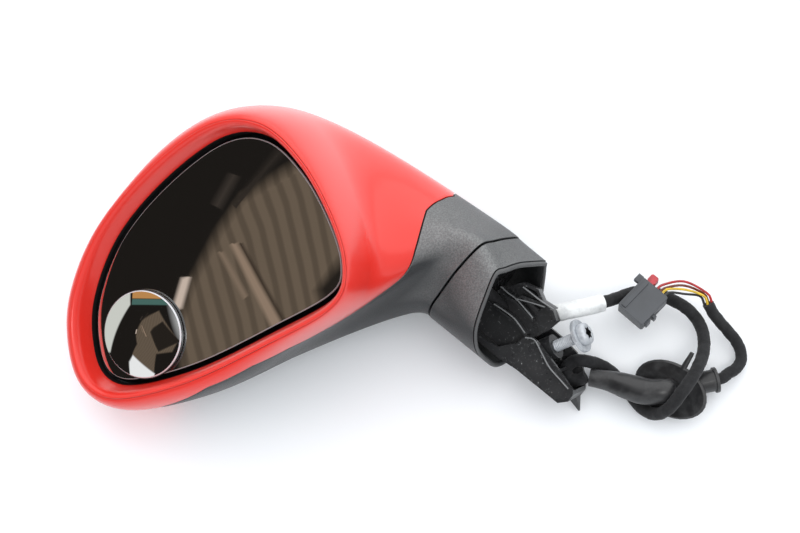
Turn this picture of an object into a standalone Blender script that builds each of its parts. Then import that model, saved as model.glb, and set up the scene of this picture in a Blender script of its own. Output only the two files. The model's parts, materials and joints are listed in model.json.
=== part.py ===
"""Power-folding car door mirror, lying on its back with its wiring loop beside it.

The mirror is drawn in its own axes, as it sits on the car: the origin is the middle of the
glass face, +X points to the car's door, +Y forwards (behind the glass) and +Z up. One empty
then turns the whole mirror into the attitude in which it rests on a table. The wiring is laid
on the table, so its points are in the table's axes. All lengths are in metres.
"""

import math

import bmesh
import bpy
import numpy as np
from mathutils import Matrix, Vector

# ---------------------------------------------------------------- driving dimensions
RAILS = 40                      # rails round the head's skin
PIECE_GAP = 0.0003              # clearance between pieces that touch
SEAM = 0.0005                   # half the visible gap between two covers

# Glass face outline (x, z), clockwise from the top.
GLASS_OUTLINE = (
    (0.030, 0.0675), (0.060, 0.057), (0.076, 0.028), (0.082, -0.008), (0.0795, -0.036),
    (0.066, -0.0495), (0.020, -0.0545), (-0.040, -0.0578), (-0.088, -0.053),
    (-0.108, -0.043), (-0.111, -0.024), (-0.099, 0.006), (-0.066, 0.0375), (-0.020, 0.058),
)
GLASS_CENTRE = (-0.014, 0.004)  # (x, z) about which every outline is measured
GLASS_THICKNESS = 0.0022
HEATER_THICKNESS = 0.0006
PLATE_THICKNESS = 0.0022
PLATE_INSET = 0.0012            # the plate is this much smaller than the glass all round

# Bezel: offsets outwards from the glass edge, and depths.
LIP_CLEARANCE = 0.0032
BEZEL_WIDTH = 0.011
BEZEL_SEAM_DEPTH = -0.016
BEZEL_NOSE = 0.0022             # the nose stands this far in front of the seam
BEZEL_WALL = 0.0022

# Head skin.
COVER_WALL = 0.0021
ROLL_SHARE = 0.2                # share of each rail spent in the rolled front edge
BULGE_BASE, BULGE_TOP, BULGE_OUTER, BULGE_BOTTOM = 0.0015, 0.0125, 0.0085, 0.008
WIDEST_DEPTH, WIDEST_DEPTH_TOP = 0.008, 0.034
FULLNESS, FULLNESS_TOP, FULLNESS_OUTER = 0.42, 0.06, 0.20
NECK_STRAIGHT, NECK_STRAIGHT_FAR, NECK_STRAIGHT_NEAR = 0.015, 0.045, 0.008
RAIL_TWIST = 58.0               # degrees between the glass's axes and the neck's

# Fold axis: where it crosses the seam between the neck and the foot, and which way it points.
FOLD_POINT = (0.1254, 0.095, -0.0661)
FOLD_AXIS = (0.3856, -0.0995, -0.9174)
NECK_ACROSS = (0.8824, 0.3305, 0.3350)
# Neck section at the seam: (across, towards the viewer).
NECK_OUTLINE = (
    (0.040, 0.0), (0.0335, 0.017), (0.024, 0.033), (0.014, 0.045), (-0.0068, 0.037),
    (-0.024, 0.023), (-0.036, 0.011), (-0.040, -0.004), (-0.036, -0.022),
    (-0.022, -0.036), (0.0, -0.041), (0.022, -0.036), (0.036, -0.020),
)
# Mouth of the foot's sleeve, in the same axes, and its slanted end plane.
MOUTH_OUTLINE = (
    (0.0430, -0.0010), (0.0354, 0.0121), (0.0275, 0.0245), (0.0185, 0.0350), (0.0100, 0.0430),
    (-0.0065, 0.038), (-0.021, 0.031), (-0.028, 0.023), (-0.0315, 0.013), (-0.0315, 0.0),
    (-0.028, -0.016), (-0.016, -0.027), (0.004, -0.0300), (0.0220, -0.0240), (0.0341, -0.0130),
    (0.0420, -0.0038),
)
MOUTH_DEPTH = 0.035
MOUTH_SLOPE_NEAR, MOUTH_SLOPE_ACROSS, MOUTH_CENTRE_ACROSS = -0.34, -0.344, 0.0066
SLEEVE_WALL = 0.003
SEAL_HEIGHT, SEAL_WIDTH = 0.002, 0.0026

# Edge between the painted cover and the black shell: (angle about the glass, share of rail).
COVER_EDGE = (
    (0, 0.61), (15, 0.67), (30, 0.715), (60, 0.73), (120, 0.73), (180, 0.72), (200, 0.64),
    (215, 0.42), (230, 0.16), (255, 0.09), (280, 0.11), (297, 0.18), (307, 0.27),
    (314, 0.42), (322, 0.57), (337, 0.577),
)

# Glass actuator.
PIVOT_DEPTH = 0.013
TILT_BALL_RADIUS = 0.007
ACTUATOR_RADIUS = 0.038
ACTUATOR_FRONT = 0.0140
ACTUATOR_COVER_THICKNESS = 0.002
PLUNGER_REACH = ACTUATOR_RADIUS * 0.58      # from the pivot to each plunger
PLUNGER_RADIUS = 0.0035
PLUNGER_LENGTH = 0.0235
PLUNGER_CLEARANCE = 0.0006
PLUNGER_TIP_GAP = 0.0004
HUB_RADIUS, HUB_BEHIND_PIVOT = 0.0105, 0.0035
CASE_CORNER = 0.006

# Inner frame.
TUB_OFFSET = 0.0062             # outwards from the glass edge
TUB_WALL = 0.002
TUB_FLOOR_DEPTH = 0.038
TUB_FRONT_DEPTH = 0.0046
# The tub's corner: (how much narrower than its mouth, height above its floor).
TUB_CORNER = ((0.001, 0.016), (0.008, 0.005), (0.015, 0.0))
BEARING_RADIUS = 0.025
BEARING_HEIGHT = 0.0085
WEB_THICKNESS = 0.009
WEB_MEETS_TUB = (0.040, -0.005)     # (x, z) on the tub's floor
WEB_INNER_EDGE, WEB_KNEE, WEB_SHOULDER = 0.0185, (0.052, 0.040), (-0.0255, 0.007)

# Fold pivot.
POST_RADIUS, POST_BORE = 0.012, 0.008
POST_TOP = 0.0415               # above the seam
POST_FLANGE_RADIUS = 0.026
POST_FLANGE_TOP, POST_FLANGE_THICKNESS = 0.0008, 0.0042
SPRING_WIRE, SPRING_TURNS = 0.0014, 4
RETAINER_RADIUS, RETAINER_THICKNESS, RETAINER_BELOW_TOP = 0.0175, 0.003, 0.002
MOTOR_RADIUS, MOTOR_LENGTH = 0.018, 0.026
CRADLE_THICKNESS = 0.003

# Mounting bracket: outline (x, z) of its side walls, and the walls' places.
BRACKET_OUTLINE = (
    (0.124, -0.077), (0.1311, -0.0869), (0.1432, -0.1051), (0.1459, -0.1151), (0.1513, -0.1207),
    (0.1578, -0.1401), (0.1631, -0.1599), (0.1618, -0.1630), (0.1570, -0.1658), (0.1500, -0.1644),
    (0.1314, -0.1345), (0.1224, -0.1232), (0.115, -0.1115), (0.107, -0.096), (0.103, -0.086),
)
BRACKET_INNER = (
    (0.136, -0.070), (0.175, -0.110), (0.180, -0.160), (0.1590, -0.1605), (0.1535, -0.1600),
    (0.1345, -0.1330), (0.1258, -0.1215), (0.119, -0.109), (0.110, -0.093), (0.107, -0.086),
)
BRACKET_NEAR, BRACKET_WIDTH, BRACKET_WALL = 0.092, 0.032, 0.003
# The far wall reaches further inboard than the near one.
BRACKET_FAR_WALL = (
    (0.1311, -0.0869), (0.1500, -0.1080), (0.1600, -0.1250), (0.1658, -0.1379), (0.1663, -0.1463),
    (0.1647, -0.1577), (0.1618, -0.1630), (0.1500, -0.1500), (0.1300, -0.1200),
)
# A ribbed shelf carries on inboard from the near wall, over the cable.
SHELF_OUTLINE = (
    (0.1285, -0.0800), (0.1547, -0.0815), (0.1640, -0.0900), (0.1650, -0.1010), (0.1690, -0.1070),
    (0.1690, -0.1143), (0.1595, -0.1175), (0.1470, -0.1185), (0.1300, -0.1200), (0.1190, -0.1120),
    (0.1120, -0.1010), (0.1100, -0.0900), (0.1180, -0.0800),
)
SHELF_NEAR, SHELF_THICKNESS = 0.1005, 0.0025
# The near wall is cut away as far down as the shelf between its inboard edge and its cross rib.
RECESS_OUTLINE = (
    (0.1240, -0.0740), (0.1300, -0.0872), (0.1422, -0.1056), (0.1450, -0.1160), (0.1380, -0.1182),
    (0.1300, -0.1167), (0.1250, -0.1160), (0.1190, -0.1100), (0.1130, -0.1000), (0.1110, -0.0900),
    (0.1130, -0.0740),
)
# Ribs, as the middle of each (x, z), and the depths between which each stands.
RIB_THICKNESS, RIB_RISE, CROSS_RIB_WIDTH = 0.0018, 0.006, 0.016
IN_NEAR_WALL = BRACKET_NEAR + BRACKET_WALL / 3
IN_FAR_WALL = BRACKET_NEAR + BRACKET_WIDTH - BRACKET_WALL * 2 / 3
IN_SHELF = SHELF_NEAR + SHELF_THICKNESS / 2
ON_SHELF = SHELF_NEAR - RIB_RISE
BRACKET_RIBS = (
    (((0.1311, -0.0869), (0.1432, -0.1051), (0.1459, -0.1151)), IN_NEAR_WALL, IN_SHELF),
    (((0.1418, -0.0865), (0.1464, -0.0919), (0.1534, -0.1082)), ON_SHELF, IN_SHELF),
    (((0.1464, -0.0919), (0.1519, -0.0903), (0.1593, -0.1030)), ON_SHELF, IN_SHELF),
    (((0.1519, -0.0903), (0.1650, -0.1012)), ON_SHELF, IN_SHELF),
    (((0.1559, -0.0827), (0.1640, -0.0905), (0.1642, -0.1010), (0.1681, -0.1074), (0.1678, -0.1138)),
     ON_SHELF, IN_SHELF),
    (((0.1300, -0.1175), (0.1380, -0.1190), (0.1480, -0.1175)), IN_NEAR_WALL, IN_FAR_WALL),
    (((0.1460, -0.1465), (0.1590, -0.1450)), IN_NEAR_WALL, IN_NEAR_WALL + CROSS_RIB_WIDTH),
)
BRACKET_PLATE_THICKNESS = 0.004
PEG_FOOT, PEG_TIP, PEG_RADIUS = (0.1550, 0.1165, -0.1630), (0.1535, 0.1195, -0.1750), 0.005

# Mounting bolt: where its shank leaves the boss, and its axis.
BOLT_POINT = (0.1605, 0.106, -0.129)
BOLT_AXIS = (0.990, -0.138, 0.038)
BOLT_RADIUS = 0.004
BOLT_INSIDE, BOLT_OUTSIDE = 0.0195, 0.0162
BOLT_BORE_CLEARANCE = 0.0005
BOSS_RADIUS = 0.0085
WASHER_RADIUS, WASHER_THICKNESS = 0.0114, 0.0022
BOLT_HEAD_RADIUS, BOLT_HEAD_HEIGHT, BOLT_SOCKET_RADIUS = 0.0076, 0.0054, 0.0036

# Stick-on blind-spot mirror.
BLIND_SPOT_POINT = (-0.0725, -0.0265)
BLIND_SPOT_RADIUS = 0.0288
BLIND_SPOT_HEIGHT = 0.0042
BLIND_SPOT_RIM = 0.0009
BLIND_SPOT_CROWN = 0.0022
BLIND_SPOT_DISH, BLIND_SPOT_EDGE = 0.0018, 0.0006   # depth of the dish, thickness of the glass's edge
PAD_THICKNESS = 0.001

# Attitude at rest: the table's upward normal and the table's own +X, in the mirror's axes. The
# normal is square to the three points that the mirror stands on.
TABLE_UP = (0.39074, -0.87955, 0.27151)
TABLE_ALONG = (0.89866, 0.30062, -0.31944)

# Wiring. Inside the mirror its points are in the mirror's axes, and on the table in the table's.
CABLE_RADIUS, TAIL_RADIUS = 0.0042, 0.0039
CABLE_IN_MIRROR = (
    (0.1275, 0.0945, -0.0711), (0.1298, 0.0940, -0.0768), (0.1320, 0.0970, -0.0840),
    (0.1355, 0.1035, -0.0920), (0.1420, 0.1085, -0.1000), (0.1520, 0.1095, -0.1070),
)
CABLE_ON_TABLE = (
    (0.1606, -0.0367, 0.0335), (0.1747, -0.0332, 0.0310), (0.1919, -0.0268, 0.0250),
    (0.2069, -0.0188, 0.0150), (0.2198, -0.0194, 0.0140), (0.2304, -0.0240, 0.0135),
    (0.2425, -0.0322, 0.0130), (0.2498, -0.0457, 0.0150), (0.2498, -0.0619, 0.0200),
    (0.2440, -0.0770, 0.0278), (0.2370, -0.0884, 0.0325), (0.2303, -0.0968, 0.0322),
    (0.2239, -0.1034, 0.0250), (0.2166, -0.1046, 0.0140), (0.2100, -0.1004, 0.0065),
    (0.2051, -0.0951, 0.0047), (0.1976, -0.0835, 0.0047), (0.1895, -0.0731, 0.0060),
    (0.1808, -0.0686, 0.0120),
)
CABLE_BACK_IN_MIRROR = (
    (0.1708, 0.1155, -0.1449), (0.1665, 0.1163, -0.1428), (0.1612, 0.1163, -0.1425),
    (0.1565, 0.1163, -0.1445), (0.1547, 0.1163, -0.1490), (0.1565, 0.1163, -0.1535),
    (0.1610, 0.1162, -0.1557),
)
CABLE_OUT_IN_MIRROR = ((0.1620, 0.1085, -0.1095), (0.1690, 0.1095, -0.1102))
LABEL_SPAN = (0.06, 0.62)       # shares of the run from the bracket to the connector
LABEL_RADIUS, LABEL_WALL = 0.0060, 0.0008
CONDUIT_ON_TABLE = (
    (0.1736, -0.0785, 0.0160), (0.1801, -0.0801, 0.0166), (0.1879, -0.0823, 0.0175),
    (0.1999, -0.0870, 0.0188), (0.2109, -0.0906, 0.0205), (0.2220, -0.0912, 0.0228),
    (0.2241, -0.0895, 0.0186),
)
CONDUIT_RADII = (0.0061, 0.0066, 0.0080, 0.0090, 0.0089, 0.0082, 0.0072)
GROMMET_PLACE = (0.2264, -0.0877, 0.0140)
GROMMET_FACE = (-0.423, -0.333, 0.843)
GROMMET_LENGTH, GROMMET_BREADTH, GROMMET_THICKNESS = 0.052, 0.036, 0.0035
GROMMET_TURN = -28.0            # degrees of the flange's long way from the table's +X
BOSS_END, BOSS_TUBE_RADIUS = (0.2575, -0.0815, 0.0122), 0.0074
TAIL_ON_TABLE = (
    (0.2648, -0.0773, 0.0105), (0.2712, -0.0735, 0.0090), (0.2750, -0.0677, 0.0080),
    (0.2755, -0.0621, 0.0080), (0.2730, -0.0543, 0.0090), (0.2681, -0.0478, 0.0105),
    (0.2643, -0.0432, 0.0120), (0.2584, -0.0362, 0.0155), (0.2549, -0.0306, 0.0200),
)
CONNECTOR_PLACE = (0.2106, -0.0318, 0.0282)
CONNECTOR_LONG, CONNECTOR_WIDE, CONNECTOR_THICK = 0.0262, 0.0215, 0.0120
CONNECTOR_TURN = -134.7         # degrees of its mating end from the table's +X
WIRE_RADIUS, WIRE_SPACING = 0.0009, 0.0022


# ---------------------------------------------------------------- small helpers
def clear_scene():
    for existing in list(bpy.data.objects):
        bpy.data.objects.remove(existing, do_unlink=True)


def new_collection(name):
    collection = bpy.data.collections.new(name)
    bpy.context.scene.collection.children.link(collection)
    return collection


def material(name, colour, roughness, metallic=0.0):
    made = bpy.data.materials.new(name)
    made.use_nodes = True
    shader = made.node_tree.nodes["Principled BSDF"]
    shader.inputs["Base Color"].default_value = (*colour, 1.0)
    shader.inputs["Roughness"].default_value = roughness
    shader.inputs["Metallic"].default_value = metallic
    return made


def closed_spline(points, per_span=12):
    """A Catmull-Rom loop through the points."""
    points = np.array(points, float)
    count = len(points)
    t = (np.arange(per_span) / per_span)[:, None]
    spans = []
    for i in range(count):
        p0, p1, p2, p3 = points[i - 1], points[i], points[(i + 1) % count], points[(i + 2) % count]
        spans.append(0.5 * (2 * p1 + (p2 - p0) * t + (2 * p0 - 5 * p1 + 4 * p2 - p3) * t**2
                            + (3 * p1 - p0 - 3 * p2 + p3) * t**3))
    return np.concatenate(spans)


def outward_offset(loop, distance):
    """Moves a loop outwards by one distance, or by one for each of its points."""
    along = np.roll(loop, -1, axis=0) - np.roll(loop, 1, axis=0)
    along /= np.linalg.norm(along, axis=1)[:, None]
    normal = np.stack([-along[:, 1], along[:, 0]], axis=1)
    if np.sum((loop - loop.mean(axis=0)) * normal) < 0:
        normal = -normal
    return loop + normal * np.reshape(distance, (-1, 1))


def at_angles(loop, angles, centre=(0.0, 0.0)):
    """The loop's points at these angles about a centre."""
    arm = loop - np.array(centre)
    own = np.arctan2(arm[:, 1], arm[:, 0])
    order = np.argsort(own)
    radius = np.interp(angles, own[order], np.hypot(arm[:, 0], arm[:, 1])[order], period=2 * math.pi)
    return np.array(centre) + np.stack([np.cos(angles), np.sin(angles)], axis=1) * radius[:, None]


def bump(angles, centre, width, height):
    """A smooth swelling round an angle, in degrees."""
    away = (angles - math.radians(centre) + math.pi) % (2 * math.pi) - math.pi
    return height * np.exp(-(away / math.radians(width)) ** 2)


def add_object(name, mesh, finish, collection):
    made = bpy.data.objects.new(name, mesh)
    collection.objects.link(made)
    if finish:
        mesh.materials.append(finish)
    return made


def mesh_from(name, points, faces):
    mesh = bpy.data.meshes.new(name)
    mesh.from_pydata([tuple(map(float, point)) for point in points], [], faces)
    shape = bmesh.new()
    shape.from_mesh(mesh)
    bmesh.ops.recalc_face_normals(shape, faces=shape.faces)
    shape.to_mesh(mesh)
    shape.free()
    mesh.shade_smooth()
    mesh.set_sharp_from_angle(angle=math.radians(35))
    return mesh


def loft_faces(rings, around, closed_along=False):
    faces = []
    for j in range(rings if closed_along else rings - 1):
        k = (j + 1) % rings
        for i in range(around):
            n = (i + 1) % around
            faces.append((j * around + i, j * around + n, k * around + n, k * around + i))
    return faces


def loft(name, rings, finish, collection, capped=True, closed_along=False):
    """A skin through closed rings of equally many points."""
    rings = [np.asarray(ring) for ring in rings]
    around = len(rings[0])
    faces = loft_faces(len(rings), around, closed_along)
    if capped:
        faces.append(tuple(range(around)))
        faces.append(tuple((len(rings) - 1) * around + i for i in range(around)))
    return add_object(name, mesh_from(name, np.concatenate(rings), faces), finish, collection)


def shell(name, rings, wall, finish, collection, floor=False):
    """An open skin through rings, thickened inwards."""
    rings = [np.asarray(ring) for ring in rings]
    around = len(rings[0])
    faces = loft_faces(len(rings), around)
    if floor:
        faces.append(tuple((len(rings) - 1) * around + i for i in range(around)))
    points = np.concatenate(rings)
    mesh = mesh_from(name, points, faces)
    middle = points.mean(axis=0)
    outwards = sum(face.area * face.normal.dot(Vector(face.center - Vector(middle)))
                   for face in mesh.polygons)
    made = add_object(name, mesh, finish, collection)
    thicken = made.modifiers.new("wall", "SOLIDIFY")
    thicken.thickness = wall
    thicken.offset = -1.0 if outwards > 0 else 1.0
    thicken.use_even_offset = True
    return made


def prism(name, outline, near, far, finish, collection):
    """An (x, z) outline pushed along y from near to far."""
    rings = [np.array([(x, depth, z) for x, z in outline]) for depth in (near, far)]
    return loft(name, rings, finish, collection)


def rod(name, start, end, radius, finish, collection, sides=24, end_radius=None):
    """A cylinder or cone between two points."""
    start, end = Vector(start), Vector(end)
    shape = bmesh.new()
    bmesh.ops.create_cone(shape, cap_ends=True, segments=sides, radius1=radius,
                          radius2=radius if end_radius is None else end_radius,
                          depth=(end - start).length)
    turn = (end - start).to_track_quat("Z", "Y").to_matrix().to_4x4()
    bmesh.ops.transform(shape, matrix=Matrix.Translation((start + end) / 2) @ turn, verts=shape.verts)
    mesh = bpy.data.meshes.new(name)
    shape.to_mesh(mesh)
    shape.free()
    mesh.shade_smooth()
    mesh.set_sharp_from_angle(angle=math.radians(35))
    return add_object(name, mesh, finish, collection)


def turned(name, profile, origin, axis, finish, collection, steps=32):
    """A profile of (radius, height) points turned about an axis. A profile that doesn't start
    and end on the axis is closed on itself."""
    on_axis = profile[0][0] == 0 and profile[-1][0] == 0
    count = len(profile)
    edges = [(i, i + 1) for i in range(count - 1)] + ([] if on_axis else [(count - 1, 0)])
    mesh = bpy.data.meshes.new(name)
    mesh.from_pydata([(radius, 0.0, height) for radius, height in profile], edges, [])
    made = add_object(name, mesh, finish, collection)
    made.location = origin
    made.rotation_mode = "QUATERNION"
    made.rotation_quaternion = Vector(axis).to_track_quat("Z", "Y")
    screw = made.modifiers.new("turn", "SCREW")
    screw.steps = screw.render_steps = steps
    screw.use_merge_vertices = True
    screw.merge_threshold = 1e-5
    screw.use_smooth_shade = True
    area = sum(profile[i][0] * profile[(i + 1) % count][1] - profile[(i + 1) % count][0] * profile[i][1]
               for i in range(count))
    screw.use_normal_flip = area > 0
    return made


def combine(target, other, operation):
    change = target.modifiers.new(f"{operation.lower()} {other.name}", "BOOLEAN")
    change.operation = operation
    change.object = other
    change.solver = "EXACT"


def tube(name, points, radius, finish, collection, resolution=2, swell=None):
    """A round cable along a list of points, with a swelling for each where given."""
    curve = bpy.data.curves.new(name, "CURVE")
    curve.dimensions = "3D"
    curve.bevel_depth = radius
    curve.bevel_resolution = resolution
    curve.use_fill_caps = True
    spline = curve.splines.new("POLY")
    spline.points.add(len(points) - 1)
    for number, (point, place) in enumerate(zip(spline.points, points)):
        point.co = (*map(float, place), 1.0)
        point.radius = 1.0 if swell is None else swell[number]
    return add_object(name, curve, finish, collection)


def open_spline(points, spacing):
    """A smooth curve through the points, read at equal steps."""
    points = np.array(points, float)
    padded = np.vstack([2 * points[0] - points[1], points, 2 * points[-1] - points[-2]])
    t = (np.arange(16) / 16)[:, None]
    dense = []
    for p0, p1, p2, p3 in zip(padded, padded[1:], padded[2:], padded[3:]):
        dense.append(0.5 * (2 * p1 + (p2 - p0) * t + (2 * p0 - 5 * p1 + 4 * p2 - p3) * t**2
                            + (3 * p1 - p0 - 3 * p2 + p3) * t**3))
    dense = np.vstack([*dense, points[-1:]])
    run = np.concatenate([[0], np.cumsum(np.linalg.norm(np.diff(dense, axis=0), axis=1))])
    steps = np.linspace(0, run[-1], max(2, round(run[-1] / spacing) + 1))
    return np.stack([np.interp(steps, run, dense[:, k]) for k in range(3)], axis=1)


def crosswise(path):
    """Unit vectors along a path, and two square to it at each point."""
    path = np.asarray(path)
    run = np.gradient(path, axis=0)
    run /= np.linalg.norm(run, axis=1)[:, None]
    side = np.cross(run, (0.0, 0.0, 1.0))
    side /= np.linalg.norm(side, axis=1)[:, None]
    return run, side, np.cross(side, run)


# ---------------------------------------------------------------- the head's skin
angles = np.arange(RAILS) * 2 * math.pi / RAILS
glass_edge = closed_spline(GLASS_OUTLINE)
fold_point = np.array(FOLD_POINT)
fold_axis = np.array(FOLD_AXIS) / np.linalg.norm(FOLD_AXIS)
across = np.array(NECK_ACROSS) - fold_axis * np.dot(NECK_ACROSS, fold_axis)
across /= np.linalg.norm(across)
towards = np.cross(fold_axis, across)
neck_angles = math.radians(RAIL_TWIST) - angles


def around_glass(offset):
    """The outline this far outside the glass edge, at every rail: (x, z)."""
    return at_angles(outward_offset(glass_edge, offset), angles, GLASS_CENTRE)


def placed(outline, depth):
    """(x, z) points at a depth, or at one depth each."""
    return np.stack([outline[:, 0], np.broadcast_to(depth, len(outline)), outline[:, 1]], axis=1)


def neck_point(outline, depth):
    """(across, towards) points, this far below the seam, in the mirror's axes."""
    return (fold_point + outline[:, :1] * across + outline[:, 1:] * towards
            + np.reshape(depth, (-1, 1)) * fold_axis)


def on_fold_axis(depth):
    return fold_point + fold_axis * depth


def widest_outline():
    edge = outward_offset(glass_edge, BEZEL_WIDTH)
    arm = edge - np.array(GLASS_CENTRE)
    own = np.arctan2(arm[:, 1], arm[:, 0])
    swell = (BULGE_BASE + bump(own, 70, 50, BULGE_TOP) + bump(own, 185, 55, BULGE_OUTER)
             + bump(own, 262, 45, BULGE_BOTTOM))
    return at_angles(outward_offset(edge, swell), angles, GLASS_CENTRE)


seam_ring = placed(around_glass(BEZEL_WIDTH), BEZEL_SEAM_DEPTH)
widest_ring = placed(widest_outline(), WIDEST_DEPTH + bump(angles, 60, 60, WIDEST_DEPTH_TOP))
neck_outline = at_angles(closed_spline(NECK_OUTLINE), neck_angles)
neck_ring = neck_point(neck_outline, -SEAM)
rail_span = np.linalg.norm(neck_ring - widest_ring, axis=1)
fullness = FULLNESS + bump(angles, 70, 50, FULLNESS_TOP) - bump(angles, 205, 60, FULLNESS_OUTER)
straight = (NECK_STRAIGHT + NECK_STRAIGHT_FAR * np.maximum(0, -np.sin(neck_angles))
            + NECK_STRAIGHT_NEAR * np.maximum(0, np.sin(neck_angles)))
first_handle = widest_ring + np.outer(rail_span * fullness, (0, 1, 0))
second_handle = neck_ring - np.outer(straight, fold_axis)


def skin_ring(share):
    """The skin's points at these shares of the rails, from the bezel seam to the neck seam."""
    share = np.broadcast_to(share, RAILS)
    turn = np.clip(share / ROLL_SHARE, 0, 1)[:, None] * math.pi / 2
    forward = np.array([0.0, 1.0, 0.0])
    flat = widest_ring - seam_ring
    roll = seam_ring + flat * (1 - forward) * np.sin(turn) + flat * forward * (1 - np.cos(turn))
    t = np.clip((share - ROLL_SHARE) / (1 - ROLL_SHARE), 0, 1)[:, None]
    body = ((1 - t) ** 3 * widest_ring + 3 * (1 - t) ** 2 * t * first_handle
            + 3 * (1 - t) * t**2 * second_handle + t**3 * neck_ring)
    return np.where(share[:, None] < ROLL_SHARE, roll, body)


edge_angles, edge_shares = np.radians([a for a, _ in COVER_EDGE]), [s for _, s in COVER_EDGE]
cover_edge = np.interp(angles, edge_angles, edge_shares, period=2 * math.pi)

edge_line = skin_ring(cover_edge)
edge_run = np.roll(edge_line, -1, axis=0) - np.roll(edge_line, 1, axis=0)
edge_run /= np.linalg.norm(edge_run, axis=1)[:, None]
rail_step = (skin_ring(cover_edge + 0.01) - edge_line) / 0.01
square_to_edge = np.linalg.norm(np.cross(rail_step, edge_run), axis=1)
seam_share = SEAM / square_to_edge  # the share of each rail that keeps the seam's width even

# ---------------------------------------------------------------- scene, materials, empties
clear_scene()
parts = new_collection("door_mirror")
helpers = new_collection("cutters")

RED_PAINT = material("red_paint", (0.72, 0.030, 0.022), 0.12)
BLACK_PLASTIC = material("grained_black_plastic", (0.030, 0.031, 0.033), 0.55)
BRACKET_PLASTIC = material("filled_black_plastic", (0.018, 0.018, 0.019), 0.38)
INNER_PLASTIC = material("inner_plastic", (0.045, 0.045, 0.047), 0.6)
NATURAL_PLASTIC = material("natural_plastic", (0.55, 0.54, 0.50), 0.45)
MIRROR = material("mirror_glass", (0.80, 0.82, 0.83), 0.02, 1.0)
HEATER_FILM = material("heater_film", (0.10, 0.06, 0.03), 0.5)
ZINC = material("zinc_plated_steel", (0.60, 0.62, 0.64), 0.35, 1.0)
STEEL = material("spring_steel", (0.35, 0.35, 0.36), 0.3, 1.0)
RUBBER = material("black_rubber", (0.022, 0.022, 0.023), 0.5)
SEAL_RUBBER = material("grey_seal_rubber", (0.25, 0.25, 0.25), 0.6)
FOAM = material("adhesive_foam", (0.75, 0.75, 0.72), 0.8)
TAPE = material("cloth_tape", (0.020, 0.020, 0.021), 0.85)
PAPER = material("white_paper", (0.85, 0.85, 0.83), 0.6)
CONNECTOR_PLASTIC = material("connector_plastic", (0.040, 0.042, 0.045), 0.45)
LOCK_PLASTIC = material("red_lock_plastic", (0.60, 0.03, 0.03), 0.4)
WIRE_FINISHES = {
    "wire_red": material("red_wire", (0.55, 0.03, 0.03), 0.4),
    "wire_brown": material("brown_wire", (0.22, 0.06, 0.03), 0.4),
    "wire_yellow": material("yellow_wire", (0.80, 0.60, 0.05), 0.4),
    "wire_black": material("black_wire", (0.03, 0.03, 0.03), 0.4),
}


def empty(name, location, parent=None):
    made = bpy.data.objects.new(name, None)
    parts.objects.link(made)
    made.location = location
    made.parent = parent
    return made


mirror = empty("mirror_attitude", (0, 0, 0))
fold_hinge = empty("fold_hinge", FOLD_POINT, mirror)
tilt_pivot = empty("glass_pivot", (GLASS_CENTRE[0], PIVOT_DEPTH, GLASS_CENTRE[1]), mirror)


def carry(carrier, *carried):
    """Parents objects that are placed in the mirror's axes to one of its empties."""
    for each in carried:
        each.parent = carrier
        if carrier is not mirror:
            each.matrix_parent_inverse = Matrix.Translation(carrier.location).inverted()


def helper_on_table(made):
    """Marks a solid that is only cut from or joined to another."""
    parts.objects.unlink(made)
    helpers.objects.link(made)
    made.hide_render = True
    made.display_type = "WIRE"
    return made


def helper(made):
    """The same, for a solid that is placed in the mirror's axes."""
    carry(mirror, helper_on_table(made))
    return made


pivot = Vector((GLASS_CENTRE[0], PIVOT_DEPTH, GLASS_CENTRE[1]))
FORWARD = Vector((0, 1, 0))


# ---------------------------------------------------------------- covers
def rear_cover():
    shares = np.linspace(0, 1, 9) ** 1.2
    rings = [skin_ring((cover_edge - seam_share) * share) for share in shares]
    return shell("rear_cover", rings, COVER_WALL, RED_PAINT, parts)


def neck_lower_shell():
    shares = np.linspace(0, 1, 7)
    start = cover_edge + seam_share
    rings = [skin_ring(start + (1 - start) * share) for share in shares]
    return shell("neck_lower_shell", rings, COVER_WALL, BLACK_PLASTIC, parts)


def bezel():
    ridge = BEZEL_WIDTH - 0.0014
    nose = BEZEL_SEAM_DEPTH - BEZEL_NOSE
    behind_cover = BEZEL_WIDTH - COVER_WALL - PIECE_GAP
    section = (
        (BEZEL_WIDTH - PIECE_GAP, BEZEL_SEAM_DEPTH - SEAM), (BEZEL_WIDTH - 0.0006, nose + 0.0009),
        (ridge, nose), (ridge - 0.0018, nose + 0.001), (ridge - 0.0030, nose + 0.0032),
        (LIP_CLEARANCE + 0.0012, -0.0075), (LIP_CLEARANCE, 0.0012),
        (LIP_CLEARANCE, TUB_FRONT_DEPTH - PIECE_GAP), (TUB_OFFSET, TUB_FRONT_DEPTH - PIECE_GAP),
        (LIP_CLEARANCE + 0.0012 + BEZEL_WALL, -0.0068), (behind_cover, BEZEL_SEAM_DEPTH + 0.0015),
        (behind_cover, BEZEL_SEAM_DEPTH - SEAM),
    )
    rings = [placed(around_glass(offset), depth) for offset, depth in section]
    return loft("bezel_ring", rings, RED_PAINT, parts, capped=False, closed_along=True)


# ---------------------------------------------------------------- glass
def plate_outline(inset, thickness_from, thickness_to, name, finish):
    outline = at_angles(outward_offset(glass_edge, -inset), angles, GLASS_CENTRE)
    return prism(name, outline, thickness_from, thickness_to, finish, parts)


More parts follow.
